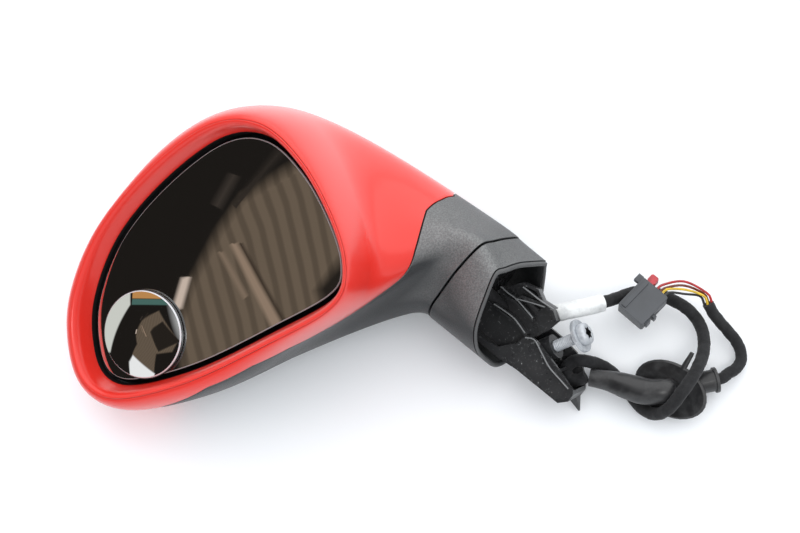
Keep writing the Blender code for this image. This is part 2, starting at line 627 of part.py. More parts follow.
def glass_assembly():
    heater_front = GLASS_THICKNESS + 0.0001
    plate_front = heater_front + HEATER_THICKNESS + 0.0001
    plate_back = plate_front + PLATE_THICKNESS
    glass = plate_outline(0.0, 0.0, GLASS_THICKNESS, "mirror_glass", MIRROR)
    heater = plate_outline(0.004, heater_front, heater_front + HEATER_THICKNESS, "heater_pad", HEATER_FILM)
    plate = plate_outline(PLATE_INSET, plate_front, plate_back, "glass_backing_plate", INNER_PLASTIC)
    hub = helper(rod("plate_hub", pivot + FORWARD * (plate_back - PIVOT_DEPTH - 0.001),
                     pivot - FORWARD * HUB_BEHIND_PIVOT, HUB_RADIUS, None, parts))
    socket = helper(ball("plate_socket", TILT_BALL_RADIUS + PIECE_GAP))
    combine(plate, hub, "UNION")
    combine(plate, socket, "DIFFERENCE")
    tilt_ball = ball("tilt_ball", TILT_BALL_RADIUS)
    tilt_ball.data.materials.append(NATURAL_PLASTIC)
    carry(tilt_pivot, glass, heater, plate, tilt_ball)
    return plate_back


def ball(name, radius):
    shape = bmesh.new()
    bmesh.ops.create_uvsphere(shape, u_segments=16, v_segments=10, radius=radius)
    bmesh.ops.transform(shape, matrix=Matrix.Translation(pivot) @ Matrix.Rotation(math.pi / 2, 4, "X"),
                        verts=shape.verts)
    mesh = bpy.data.meshes.new(name)
    shape.to_mesh(mesh)
    shape.free()
    mesh.shade_smooth()
    return add_object(name, mesh, None, parts)


def blind_spot_mirror():
    x, z = BLIND_SPOT_POINT
    base = Vector((x, -PIECE_GAP / 2, z))
    out = -FORWARD
    pad = rod("blind_spot_pad", base, base + out * PAD_THICKNESS, BLIND_SPOT_RADIUS - 0.004, FOAM, parts)
    body_height = BLIND_SPOT_HEIGHT - PAD_THICKNESS - PIECE_GAP
    foot = base + out * (PAD_THICKNESS + PIECE_GAP / 2)
    lens_radius = BLIND_SPOT_RADIUS - BLIND_SPOT_RIM
    floor = body_height - BLIND_SPOT_DISH
    housing = turned("blind_spot_housing", [
        (0, 0), (BLIND_SPOT_RADIUS - BLIND_SPOT_RIM, 0), (BLIND_SPOT_RADIUS, body_height - BLIND_SPOT_RIM),
        (BLIND_SPOT_RADIUS - BLIND_SPOT_RIM / 3, body_height), (lens_radius, body_height),
        (lens_radius, floor), (0, floor)], foot, out, BLACK_PLASTIC, parts, steps=40)
    crown = [(lens_radius - PIECE_GAP) * k / 5 for k in (5, 3.5, 2, 0)]
    profile = [(0, 0), (crown[0], 0)] + [
        (r, BLIND_SPOT_EDGE + BLIND_SPOT_CROWN * (1 - (r / crown[0]) ** 2)) for r in crown]
    lens = turned("blind_spot_glass", profile, foot + out * (floor + PIECE_GAP / 2), out, MIRROR, parts,
                  steps=40)
    carry(tilt_pivot, pad, housing, lens)


# ---------------------------------------------------------------- actuator and frame
def glass_actuator(plate_back):
    cover_back = ACTUATOR_FRONT + ACTUATOR_COVER_THICKNESS
    case_front = cover_back + PIECE_GAP
    case_back = TUB_FLOOR_DEPTH - TUB_WALL - PIECE_GAP
    hub_reach = PIVOT_DEPTH + HUB_BEHIND_PIVOT
    centre = Vector((pivot.x, 0, pivot.z))
    case = turned("actuator_case", [
        (0, hub_reach), (HUB_RADIUS, hub_reach), (HUB_RADIUS, case_front), (ACTUATOR_RADIUS, case_front),
        (ACTUATOR_RADIUS, case_back - CASE_CORNER), (ACTUATOR_RADIUS - CASE_CORNER, case_back),
        (0, case_back)],
        centre, FORWARD, NATURAL_PLASTIC, parts)
    cover = turned("actuator_cover", [
        (HUB_RADIUS + PIECE_GAP, ACTUATOR_FRONT), (ACTUATOR_RADIUS, ACTUATOR_FRONT),
        (ACTUATOR_RADIUS, cover_back), (HUB_RADIUS + PIECE_GAP, cover_back)],
        centre, FORWARD, NATURAL_PLASTIC, parts)
    combine(case, helper(ball("case_socket", TILT_BALL_RADIUS + PIECE_GAP)), "DIFFERENCE")
    tip = plate_back + PLUNGER_TIP_GAP
    for name, aside in (("vertical_plunger", Vector((0, 0, -PLUNGER_REACH))),
                        ("horizontal_plunger", Vector((-PLUNGER_REACH, 0, 0)))):
        axis_point = centre + aside
        dome = [(PLUNGER_RADIUS * math.sin(turn), tip + PLUNGER_RADIUS * (1 - math.cos(turn)))
                for turn in np.linspace(0, math.pi / 2, 5)]
        plunger = turned(name, dome + [(PLUNGER_RADIUS, tip + PLUNGER_LENGTH), (0, tip + PLUNGER_LENGTH)],
                         axis_point, FORWARD, NATURAL_PLASTIC, parts, steps=16)
        bore = helper(rod(f"{name}_bore", axis_point + FORWARD * 0.010,
                          axis_point + FORWARD * (tip + PLUNGER_LENGTH + 0.004),
                          PLUNGER_RADIUS + PLUNGER_CLEARANCE, None, parts, sides=16))
        combine(case, bore, "DIFFERENCE")
        combine(cover, bore, "DIFFERENCE")
        carry(fold_hinge, plunger)
    carry(fold_hinge, case, cover)


def frame_web(bearing_bottom, cradle_bottom, cradle_top):
    """The upright web that joins the bearing and the motor's cradle to the tub's floor."""
    x, z = WEB_MEETS_TUB
    to_tub = np.array([x, TUB_FLOOR_DEPTH - TUB_WALL / 2, z]) - fold_point
    tub_up = -np.dot(to_tub, fold_axis)
    away = to_tub + fold_axis * tub_up
    tub_out = np.linalg.norm(away)
    away /= tub_out
    side = np.cross(away, fold_axis) * WEB_THICKNESS / 2
    post_side = POST_RADIUS + 0.002
    outline = ((WEB_INNER_EDGE, bearing_bottom + 0.001), (BEARING_RADIUS - 0.001, bearing_bottom + 0.001),
               WEB_KNEE, (tub_out, tub_up), (tub_out + WEB_SHOULDER[0], tub_up + WEB_SHOULDER[1]),
               (0.030, cradle_top), (post_side, cradle_top - 0.0005),
               (post_side, cradle_bottom + 0.0005), (WEB_INNER_EDGE, cradle_bottom))
    rings = [[fold_point + away * out - fold_axis * up + side * sign for out, up in outline]
             for sign in (-1, 1)]
    return helper(loft("frame_web", rings, None, parts))


def inner_frame():
    rings = [placed(around_glass(TUB_OFFSET), TUB_FRONT_DEPTH)]
    rings += [placed(around_glass(TUB_OFFSET - narrower), TUB_FLOOR_DEPTH - height)
              for narrower, height in TUB_CORNER]
    frame = shell("inner_frame", rings, TUB_WALL, INNER_PLASTIC, parts, floor=True)
    ring_bottom = -POST_FLANGE_TOP + PIECE_GAP
    bearing = helper(turned("frame_bearing", [
        (POST_RADIUS + PIECE_GAP, ring_bottom), (BEARING_RADIUS, ring_bottom),
        (BEARING_RADIUS, BEARING_HEIGHT), (POST_RADIUS + PIECE_GAP, BEARING_HEIGHT)],
        fold_point, -fold_axis, None, parts))
    cradle_bottom = POST_TOP + 0.0013
    cradle_top = cradle_bottom + CRADLE_THICKNESS
    cradle = helper(rod("motor_cradle", on_fold_axis(-cradle_bottom), on_fold_axis(-cradle_top),
                        MOTOR_RADIUS + 0.001, None, parts))
    for piece in (bearing, cradle, frame_web(ring_bottom, cradle_bottom, cradle_top)):
        combine(frame, piece, "UNION")
    motor = turned("fold_motor", [
        (0, cradle_top + PIECE_GAP), (MOTOR_RADIUS, cradle_top + PIECE_GAP),
        (MOTOR_RADIUS, cradle_top + MOTOR_LENGTH - 0.003), (MOTOR_RADIUS - 0.003, cradle_top + MOTOR_LENGTH),
        (0.006, cradle_top + MOTOR_LENGTH), (0.005, cradle_top + MOTOR_LENGTH + 0.003),
        (0, cradle_top + MOTOR_LENGTH + 0.003)], fold_point, -fold_axis, INNER_PLASTIC, parts, steps=24)
    carry(fold_hinge, frame, motor)


# ---------------------------------------------------------------- foot
def pivot_and_spring():
    flange_bottom = -(POST_FLANGE_TOP + POST_FLANGE_THICKNESS)
    post = turned("pivot_post", [
        (POST_BORE, flange_bottom), (POST_FLANGE_RADIUS, flange_bottom),
        (POST_FLANGE_RADIUS, -POST_FLANGE_TOP), (POST_RADIUS, -POST_FLANGE_TOP),
        (POST_RADIUS, POST_TOP), (POST_BORE, POST_TOP)], fold_point, -fold_axis, ZINC, parts, steps=28)
    retainer_top = POST_TOP - RETAINER_BELOW_TOP
    retainer_bottom = retainer_top - RETAINER_THICKNESS
    retainer = turned("spring_retainer", [
        (POST_RADIUS + PIECE_GAP, retainer_bottom), (RETAINER_RADIUS, retainer_bottom),
        (RETAINER_RADIUS, retainer_top), (POST_RADIUS + PIECE_GAP, retainer_top)],
        fold_point, -fold_axis, STEEL, parts, steps=24)
    low = BEARING_HEIGHT + SPRING_WIRE + PIECE_GAP
    high = retainer_bottom - SPRING_WIRE - PIECE_GAP
    coil_radius = POST_RADIUS + SPRING_WIRE + 0.0008
    per_turn = 12
    coil = []
    for k in range(SPRING_TURNS * per_turn + 1):
        turn = 2 * math.pi * k / per_turn
        height = low + (high - low) * k / (SPRING_TURNS * per_turn)
        coil.append(fold_point - fold_axis * height
                    + (across * math.cos(turn) + towards * math.sin(turn)) * coil_radius)
    spring = tube("detent_spring", coil, SPRING_WIRE, STEEL, parts, resolution=1)
    carry(mirror, post, retainer, spring)


mouth_outline = at_angles(closed_spline(MOUTH_OUTLINE), neck_angles)


def mouth_ring(outline, beyond=0.0):
    depth = (MOUTH_DEPTH + MOUTH_SLOPE_NEAR * outline[:, 1]
             + MOUTH_SLOPE_ACROSS * (outline[:, 0] - MOUTH_CENTRE_ACROSS) + beyond)
    return neck_point(outline, depth)


def foot_sleeve():
    rings = []
    for inset, shares in ((0.0, np.linspace(0, 1, 4)), (SLEEVE_WALL, np.linspace(1, 0, 4))):
        top = neck_point(outward_offset(neck_outline, -inset), SEAM)
        end = mouth_ring(outward_offset(mouth_outline, -inset))
        rings += [top + (end - top) * share for share in shares]
    sleeve = loft("foot_sleeve", rings, BLACK_PLASTIC, parts, capped=False, closed_along=True)
    inner = outward_offset(mouth_outline, -SEAL_WIDTH)
    outer = outward_offset(mouth_outline, -0.0003)
    seal_rings = [mouth_ring(outer, PIECE_GAP), mouth_ring(outer, PIECE_GAP + SEAL_HEIGHT),
                  mouth_ring(inner, PIECE_GAP + SEAL_HEIGHT), mouth_ring(inner, PIECE_GAP)]
    seal = loft("sleeve_edge_seal", seal_rings, SEAL_RUBBER, parts, capped=False, closed_along=True)
    carry(mirror, sleeve, seal)


def band(middle, thickness):
    """The outline of a strip of even thickness along an open line (x, z)."""
    middle = np.array(middle)
    run = np.gradient(middle, axis=0)
    run /= np.linalg.norm(run, axis=1)[:, None]
    side = np.stack([-run[:, 1], run[:, 0]], axis=1) * thickness / 2
    return [*(middle + side), *(middle - side)[::-1]]


def cable_way(number, points):
    """Room for the cable where it passes through the bracket."""
    path = open_spline(points, 0.003)
    _, side, above = crosswise(path)
    rings = [[place + (s * math.cos(turn) + a * math.sin(turn)) * (CABLE_RADIUS + 0.0006)
              for turn in np.linspace(0, 2 * math.pi, 12, endpoint=False)]
             for place, s, a in zip(path, side, above)]
    return helper(loft(f"cable_way_{number}", rings, None, parts))


def sleeve_clearance():
    """Everything from the sleeve's inner face outwards, down to just past its seal."""
    rings = []
    for inset, from_top in ((SLEEVE_WALL + 3 * PIECE_GAP, True), (-0.030, False)):
        top = neck_point(outward_offset(neck_outline, -inset), -0.002)
        end = mouth_ring(outward_offset(mouth_outline, -inset), SEAL_HEIGHT + 2 * PIECE_GAP)
        rings += [top, end] if from_top else [end, top]
    return helper(loft("sleeve_clearance", rings, None, parts, capped=False, closed_along=True))


def mounting_bracket():
    far = BRACKET_NEAR + BRACKET_WIDTH
    plate_top = POST_FLANGE_TOP + POST_FLANGE_THICKNESS + PIECE_GAP
    inset = outward_offset(neck_outline, -(SLEEVE_WALL + 0.004))
    bracket = loft("mounting_bracket", [neck_point(inset, plate_top),
                                        neck_point(inset, plate_top + BRACKET_PLATE_THICKNESS)],
                   BRACKET_PLASTIC, parts)
    channel = helper(prism("bracket_channel", BRACKET_OUTLINE, BRACKET_NEAR, far, None, parts))
    pocket = helper(prism("bracket_pocket", BRACKET_INNER, BRACKET_NEAR + BRACKET_WALL,
                          far - BRACKET_WALL, None, parts))
    combine(channel, pocket, "DIFFERENCE")
    combine(channel, helper(prism("bracket_recess", RECESS_OUTLINE, BRACKET_NEAR - 0.001, SHELF_NEAR,
                                  None, parts)), "DIFFERENCE")
    combine(bracket, channel, "UNION")
    combine(bracket, helper(prism("bracket_far_wall", BRACKET_FAR_WALL, far - BRACKET_WALL, far - 0.0001,
                                  None, parts)), "UNION")
    combine(bracket, helper(prism("bracket_shelf", SHELF_OUTLINE, SHELF_NEAR,
                                  SHELF_NEAR + SHELF_THICKNESS, None, parts)), "UNION")
    for number, (middle, *depths) in enumerate(BRACKET_RIBS):
        combine(bracket, helper(prism(f"bracket_rib_{number}", band(middle, RIB_THICKNESS), *sorted(depths),
                                      None, parts)), "UNION")
    passage = helper(rod("cable_passage", on_fold_axis(plate_top - 0.002),
                         on_fold_axis(plate_top + BRACKET_PLATE_THICKNESS + 0.006), POST_BORE,
                         None, parts))
    bolt_point, bolt_axis = Vector(BOLT_POINT), Vector(BOLT_AXIS).normalized()
    boss = helper(rod("bolt_boss", bolt_point - bolt_axis * (BOLT_INSIDE + BOSS_RADIUS),
                      bolt_point - bolt_axis * 0.002, BOSS_RADIUS, None, parts))
    bore = helper(rod("bolt_bore", bolt_point - bolt_axis * (BOLT_INSIDE + 0.002),
                      bolt_point + bolt_axis * 0.010, BOLT_RADIUS + BOLT_BORE_CLEARANCE, None, parts))
    peg = helper(rod("locating_peg", PEG_FOOT, PEG_TIP, PEG_RADIUS, None, parts, sides=4, end_radius=0.0006))
    combine(bracket, boss, "UNION")
    combine(bracket, peg, "UNION")
    combine(bracket, passage, "DIFFERENCE")
    for number, run in enumerate((CABLE_IN_MIRROR + CABLE_OUT_IN_MIRROR, CABLE_BACK_IN_MIRROR)):
        combine(bracket, cable_way(number, run), "DIFFERENCE")
    combine(bracket, sleeve_clearance(), "DIFFERENCE")
    combine(bracket, bore, "DIFFERENCE")
    carry(mirror, bracket)


def mounting_bolt():
    point, axis = Vector(BOLT_POINT), Vector(BOLT_AXIS).normalized()
    washer_at = BOLT_OUTSIDE
    head_at = washer_at + WASHER_THICKNESS + PIECE_GAP
    head_top = head_at + BOLT_HEAD_HEIGHT
    bolt = turned("mounting_bolt", [
        (0, -BOLT_INSIDE), (BOLT_RADIUS - 0.001, -BOLT_INSIDE), (BOLT_RADIUS, -BOLT_INSIDE + 0.001),
        (BOLT_RADIUS, head_at), (BOLT_HEAD_RADIUS, head_at), (BOLT_HEAD_RADIUS, head_top - 0.0015),
        (BOLT_HEAD_RADIUS - 0.0015, head_top), (BOLT_SOCKET_RADIUS, head_top),
        (BOLT_SOCKET_RADIUS, head_top - 0.003), (0, head_top - 0.003)], point, axis, ZINC, parts, steps=24)
    washer = turned("bolt_washer", [
        (BOLT_RADIUS + PIECE_GAP, washer_at), (WASHER_RADIUS, washer_at),
        (WASHER_RADIUS, washer_at + WASHER_THICKNESS),
        (BOLT_RADIUS + PIECE_GAP, washer_at + WASHER_THICKNESS)], point, axis, ZINC, parts, steps=28)
    carry(mirror, bolt, washer)


# ---------------------------------------------------------------- on the table
def lay_down():
    """Turns the mirror into its attitude at rest, with its lowest point at height 0."""
    up = Vector(TABLE_UP).normalized()
    along = Vector(TABLE_ALONG)
    along = (along - up * along.dot(up)).normalized()
    attitude = Matrix((along, up.cross(along), up)).to_4x4()
    bpy.context.view_layer.update()
    graph = bpy.context.evaluated_depsgraph_get()
    corners = []
    for made in parts.objects:
        if made.type == "EMPTY":
            continue
        shape = made.evaluated_get(graph)
        mesh = shape.to_mesh()
        points = np.array([vertex.co for vertex in mesh.vertices])
        shape.to_mesh_clear()
        turned_points = points @ np.array(attitude.to_3x3() @ shape.matrix_world.to_3x3()).T
        turned_points += np.array(attitude @ shape.matrix_world.translation)
        corners += [turned_points.min(axis=0), turned_points.max(axis=0)]
    lowest, highest = np.min(corners, axis=0), np.max(corners, axis=0)
    middle = (lowest + highest) / 2
    stand = Matrix.Translation((-middle[0], -middle[1], -lowest[2]))
    mirror.matrix_world = stand @ attitude
    bpy.context.view_layer.update()


def on_table(points):
    """Points in the mirror's axes, in the table's."""
    return [tuple(mirror.matrix_world @ Vector(point)) for point in points]


# ---------------------------------------------------------------- wiring
def cable():
    start, after = Vector(CONDUIT_ON_TABLE[0]), Vector(CONDUIT_ON_TABLE[1])
    into_conduit = (after - start).normalized()
    path = open_spline([*on_table(CABLE_IN_MIRROR), *CABLE_ON_TABLE, *on_table(CABLE_BACK_IN_MIRROR),
                        tuple(start - into_conduit * 0.0025)], 0.0062)
    tube("harness_cable", path, CABLE_RADIUS, TAPE, parts)


def label():
    """A paper wrap round the cable, printed side bare."""
    path = open_spline([on_table(CABLE_IN_MIRROR)[-1], *CABLE_ON_TABLE[:4]], 0.002)
    first, last = (round(share * (len(path) - 1)) for share in LABEL_SPAN)
    path = path[first:last + 1]
    _, side, above = crosswise(path)
    turns = np.linspace(0, 2 * math.pi, 16, endpoint=False)

    def ring(k, radius):
        return [path[k] + side[k] * math.cos(turn) * radius + above[k] * math.sin(turn) * radius
                for turn in turns]

    steps = range(0, len(path), 3)
    rings = [ring(k, LABEL_RADIUS) for k in steps]
    rings += [ring(k, LABEL_RADIUS - LABEL_WALL) for k in reversed(steps)]
    loft("blank_label", rings, PAPER, parts, capped=False, closed_along=True)


def conduit():
    face = Vector(GROMMET_FACE).normalized()
    end = Vector(GROMMET_PLACE) + face * (GROMMET_THICKNESS / 2 + PIECE_GAP)
    path = open_spline([*CONDUIT_ON_TABLE, tuple(end)], 0.0025)
    place = np.linspace(0, 1, len(path))
    radii = np.interp(place, np.linspace(0, 1, len(CONDUIT_RADII)), CONDUIT_RADII)
    tube("rubber_conduit", path, CONDUIT_RADII[0], RUBBER, parts,
         swell=radii / CONDUIT_RADII[0])


def grommet():
    face = Vector(GROMMET_FACE).normalized()
    centre = Vector(GROMMET_PLACE)
    turn = math.radians(GROMMET_TURN)
    long_way = Vector((math.cos(turn), math.sin(turn), 0))
    long_way = (long_way - face * long_way.dot(face)).normalized()
    short_way = face.cross(long_way)
    rings = []
    for share, height in ((0.94, -0.5), (1.0, -0.2), (1.0, 0.2), (0.94, 0.5)):
        ring = []
        for k in range(32):
            around = 2 * math.pi * k / 32
            ring.append(centre + long_way * (math.cos(around) * GROMMET_LENGTH / 2 * share)
                        + short_way * (math.sin(around) * GROMMET_BREADTH / 2 * share)
                        + face * (height * GROMMET_THICKNESS))
        rings.append([tuple(point) for point in ring])
    flange = loft("grommet", rings, RUBBER, parts)
    end = Vector(BOSS_END)
    back = (centre - end).normalized()
    boss_foot = centre - face * 0.003 - back * 0.004
    boss = rod("grommet_boss", boss_foot, end + back * 0.001, BOSS_TUBE_RADIUS, None, parts)
    lip = rod("grommet_boss_lip", end + back * 0.002, end, BOSS_TUBE_RADIUS + 0.0012, None, parts)
    tab_foot = centre + long_way * 0.002 + short_way * (GROMMET_BREADTH / 2 - 0.002)
    tab = rod("grommet_tab", tab_foot, tab_foot + Vector((0.0065, 0.0095, 0.006)), 0.0022, None,
              parts, sides=12, end_radius=0.0014)
    for piece in (boss, lip, tab):
        combine(flange, helper_on_table(piece), "UNION")


def tail_and_connector():
    end = Vector(BOSS_END)
    outwards = (end - Vector(GROMMET_PLACE)).normalized()
    tail = open_spline([tuple(end + outwards * PIECE_GAP), tuple(end + outwards * 0.004), *TAIL_ON_TABLE],
                       0.004)
    tube("tail_cable", tail, TAIL_RADIUS, TAPE, parts)
    place = Vector(CONNECTOR_PLACE)
    turn = Matrix.Rotation(math.radians(CONNECTOR_TURN), 3, "Z")
    long_way, wide_way, above = turn.col

    def at(forward, aside, height):
        return place + long_way * forward + wide_way * aside + above * height

    def block(name, low, high, finish, chamfer=0.0):
        outline = []
        for x, y in ((low[0], low[1]), (high[0], low[1]), (high[0], high[1]), (low[0], high[1])):
            sx = 1 if x == high[0] else -1
            sy = 1 if y == high[1] else -1
            steps = ((x - sx * chamfer, y), (x, y - sy * chamfer)) if chamfer else ((x, y),)
            outline += steps if sx * sy < 0 else steps[::-1]
        rings = [[tuple(at(x, y, height)) for x, y in outline] for height in (low[2], high[2])]
        return loft(name, rings, finish, parts)

    half_long, half_wide, half_thick = CONNECTOR_LONG / 2, CONNECTOR_WIDE / 2, CONNECTOR_THICK / 2
    body = block("connector_body", (-half_long, -half_wide, -half_thick),
                 (half_long, half_wide, half_thick), CONNECTOR_PLASTIC, 0.001)
    for number, (low, high) in enumerate((
            ((half_long - 0.007, half_wide - 0.001, -0.004), (half_long - 0.003, half_wide + 0.0016, 0.003)),
            ((0.001, half_wide - 0.001, -0.004), (0.0035, half_wide + 0.0024, 0.003)),
            ((-half_long + 0.0015, -half_wide + 0.002, half_thick - 0.0005),
             (half_long - 0.0015, -half_wide + 0.0055, half_thick + 0.001)))):
        combine(body, helper_on_table(block(f"connector_rib_{number}", low, high, None)), "UNION")
    block("connector_latch", (-half_long - 0.001, -half_wide - 0.0045, -0.001),
          (-half_long + 0.0045, -half_wide - PIECE_GAP, 0.003), CONNECTOR_PLASTIC)
    block("connector_lock", (-half_long - 0.0065, -0.0085, -0.002),
          (-half_long - PIECE_GAP, -0.0025, 0.004), LOCK_PLASTIC, 0.001)
    run, side, over = (each[-1] for each in crosswise(tail))
    tip = tail[-1] + run * PIECE_GAP
    for number, (name, rise) in enumerate((("wire_red", 0.0050), ("wire_brown", 0.0036),
                                           ("wire_yellow", 0.0018), ("wire_black", 0.0002))):
        height = WIRE_SPACING / 2 * (-1) ** number
        start = at(-half_long - PIECE_GAP, 0.0010 + WIRE_SPACING * number, height)
        out = start - long_way * 0.005
        end = Vector(tip + side * WIRE_SPACING * 0.7 * (1.5 - number) + over * height)
        before = end + Vector(run) * 0.007
        middle = (out + before) / 2 + Vector((0.0, rise, rise * 0.3))
        wire = open_spline([tuple(p) for p in (start, out, middle, before, end)], 0.0025)
        tube(name, wire, WIRE_RADIUS, WIRE_FINISHES[name], parts, resolution=1)


# ---------------------------------------------------------------- assembly
carry(fold_hinge, rear_cover(), neck_lower_shell(), bezel())
glass_actuator(glass_assembly())
blind_spot_mirror()
inner_frame()
pivot_and_spring()
foot_sleeve()
mounting_bracket()
mounting_bolt()
lay_down()
cable()
label()
conduit()
grommet()
tail_and_connector()
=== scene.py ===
"""Looks for a folding car door mirror that lies on its back, with its wiring loop beside it.

The mirror's pieces are drawn in its own axes, as it sits on the car: the origin is the middle of
the glass face, +X points to the car's door, +Y behind the glass and +Z up. `mirror_place` then puts
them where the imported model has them. The wiring's points are in the table's axes. All lengths
are in metres.
"""

import json
import math

import bmesh
import bpy
import numpy as np
from mathutils import Matrix, Vector, noise


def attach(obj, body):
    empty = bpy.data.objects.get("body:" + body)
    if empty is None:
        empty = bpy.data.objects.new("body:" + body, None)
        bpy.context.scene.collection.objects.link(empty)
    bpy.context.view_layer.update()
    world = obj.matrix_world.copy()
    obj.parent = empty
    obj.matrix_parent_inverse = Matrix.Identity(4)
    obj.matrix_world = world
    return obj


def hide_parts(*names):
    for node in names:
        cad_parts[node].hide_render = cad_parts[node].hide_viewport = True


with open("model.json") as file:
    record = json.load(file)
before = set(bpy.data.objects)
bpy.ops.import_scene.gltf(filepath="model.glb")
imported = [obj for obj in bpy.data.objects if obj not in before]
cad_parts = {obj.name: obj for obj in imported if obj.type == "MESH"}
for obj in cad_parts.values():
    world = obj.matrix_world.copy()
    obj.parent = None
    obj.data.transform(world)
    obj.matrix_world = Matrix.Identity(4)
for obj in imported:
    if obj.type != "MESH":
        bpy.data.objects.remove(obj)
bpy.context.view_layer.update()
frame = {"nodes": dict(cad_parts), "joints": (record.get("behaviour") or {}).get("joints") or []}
scene = bpy.context.scene

# -------------------- sizes, as in the solids
PIECE_GAP = 0.0003
SEAM = 0.0005
GLASS_OUTLINE = (
    (0.030, 0.0675), (0.060, 0.057), (0.076, 0.028), (0.082, -0.008), (0.0795, -0.036),
    (0.066, -0.0495), (0.020, -0.0545), (-0.040, -0.0578), (-0.088, -0.053),
    (-0.108, -0.043), (-0.111, -0.024), (-0.099, 0.006), (-0.066, 0.0375), (-0.020, 0.058),
)
GLASS_CENTRE = (-0.014, 0.004)
GLASS_THICKNESS = 0.0022
LIP_CLEARANCE, BEZEL_WIDTH, BEZEL_SEAM_DEPTH = 0.0032, 0.011, -0.016
BEZEL_NOSE, BEZEL_WALL = 0.0022, 0.0022
COVER_WALL, TUB_OFFSET, TUB_FRONT_DEPTH = 0.0021, 0.0062, 0.0046
ROLL_SHARE = 0.2
BULGE_BASE, BULGE_TOP, BULGE_OUTER, BULGE_BOTTOM = 0.0015, 0.0125, 0.0085, 0.008
WIDEST_DEPTH, WIDEST_DEPTH_TOP = 0.008, 0.034
FULLNESS, FULLNESS_TOP, FULLNESS_OUTER = 0.42, 0.06, 0.20
NECK_STRAIGHT, NECK_STRAIGHT_FAR, NECK_STRAIGHT_NEAR = 0.015, 0.045, 0.008
RAIL_TWIST = 58.0
FOLD_POINT = (0.1254, 0.095, -0.0661)
FOLD_AXIS = (0.3856, -0.0995, -0.9174)
NECK_ACROSS = (0.8824, 0.3305, 0.3350)
NECK_OUTLINE = (
    (0.040, 0.0), (0.0335, 0.017), (0.024, 0.033), (0.014, 0.045), (-0.0068, 0.037),
    (-0.024, 0.023), (-0.036, 0.011), (-0.040, -0.004), (-0.036, -0.022),
    (-0.022, -0.036), (0.0, -0.041), (0.022, -0.036), (0.036, -0.020),
)
MOUTH_OUTLINE = (
    (0.0430, -0.0010), (0.0354, 0.0121), (0.0275, 0.0245), (0.0185, 0.0350), (0.0100, 0.0430),
    (-0.0065, 0.038), (-0.021, 0.031), (-0.028, 0.023), (-0.0315, 0.013), (-0.0315, 0.0),
    (-0.028, -0.016), (-0.016, -0.027), (0.004, -0.0300), (0.0220, -0.0240), (0.0341, -0.0130),
    (0.0420, -0.0038),
)
MOUTH_DEPTH = 0.035
MOUTH_SLOPE_NEAR, MOUTH_SLOPE_ACROSS, MOUTH_CENTRE_ACROSS = -0.34, -0.344, 0.0066
SLEEVE_WALL, SEAL_HEIGHT, SEAL_WIDTH = 0.003, 0.002, 0.0026
COVER_EDGE = (
    (0, 0.61), (15, 0.67), (30, 0.715), (60, 0.73), (120, 0.73), (180, 0.72), (200, 0.64),
    (215, 0.42), (230, 0.16), (255, 0.09), (280, 0.11), (297, 0.18), (307, 0.27),
    (314, 0.42), (322, 0.57), (337, 0.577),
)
SMALL_MIRROR_POINT = (-0.0725, -0.0265)
PAD_THICKNESS = 0.001
BOLT_POINT = (0.1605, 0.106, -0.129)
BOLT_AXIS = (0.990, -0.138, 0.038)
BOLT_RADIUS, BOLT_INSIDE, BOLT_OUTSIDE = 0.004, 0.0195, 0.0162
BOLT_HEAD_RADIUS, BOLT_HEAD_HEIGHT, WASHER_THICKNESS = 0.0076, 0.0054, 0.0022
BOLT_SOCKET_RADIUS = 0.0036
TABLE_UP = (0.39074, -0.87955, 0.27151)
TABLE_ALONG = (0.89866, 0.30062, -0.31944)

# -------------------- finer sizes, of this script only
RAILS, COVER_RINGS, NECK_RINGS, SLEEVE_RINGS, DOME_RINGS = 176, 72, 56, 24, 40
TURNED_STEPS, CABLE_SIDES, HOSE_SIDES, LABEL_SIDES, SEAL_SIDES = 96, 40, 64, 48, 12
CABLE_EASING, TAIL_EASING = 14, 10
BEZEL_THROAT, GLASS_CHAMFER = -0.0014, 0.0006
SEAM_STRIP_DEPTHS, SEAM_STRIP_REACH = (0.0010, 0.0018), 4
SMALL_MIRROR_RADIUS, SMALL_MIRROR_HEIGHT, SMALL_MIRROR_CROWN = 0.0299, 0.0046, 0.0036
SMALL_MIRROR_BEVEL, SMALL_MIRROR_LEAN = 0.0007, (-0.045, 0.004)
SOCKET_LOBES, SOCKET_LOBE_DEPTH = 6, 0.17
THREAD_PITCH, THREAD_DEPTH = 0.00125, 0.0004
RIB_WIDTH, RIB_CREST = 0.0010, 0.0004
# Thin ribs on the bracket: the depths of their top and foot, and the places (x, z) of their line.
BRACKET_RIBS = (
    (0.0900, 0.0940, ((0.1334, -0.0884), (0.1379, -0.0943), (0.1433, -0.1027), (0.1466, -0.1138))),
    (0.0920, 0.0985, ((0.1417, -0.0792), (0.1447, -0.0849), (0.1489, -0.0914), (0.1548, -0.1064))),
    (0.0920, 0.0985, ((0.1491, -0.0908), (0.1573, -0.0964), (0.1653, -0.1025))),
    (0.0920, 0.1015, ((0.1560, -0.0849), (0.1601, -0.0914), (0.1642, -0.0978), (0.1705, -0.1060))),
    (0.0895, 0.0930, ((0.1458, -0.1166), (0.1511, -0.1202), (0.1526, -0.1292), (0.1541, -0.1402),
                      (0.1581, -0.1507), (0.1610, -0.1580))),
)

# -------------------- where things are
up = Vector(TABLE_UP).normalized()
along = Vector(TABLE_ALONG)
along = (along - up * along.dot(up)).normalized()
mirror_place = Matrix((along, up.cross(along), up)).to_4x4()
fold_joint = next(joint for joint in frame["joints"] if joint["name"] == "head_fold")
mirror_place.translation = Vector(fold_joint["pos_m"]) - mirror_place @ Vector(FOLD_POINT)
to_mirror = mirror_place.inverted()
glass_facing = (mirror_place.to_3x3() @ Vector((0, -1, 0))).normalized()


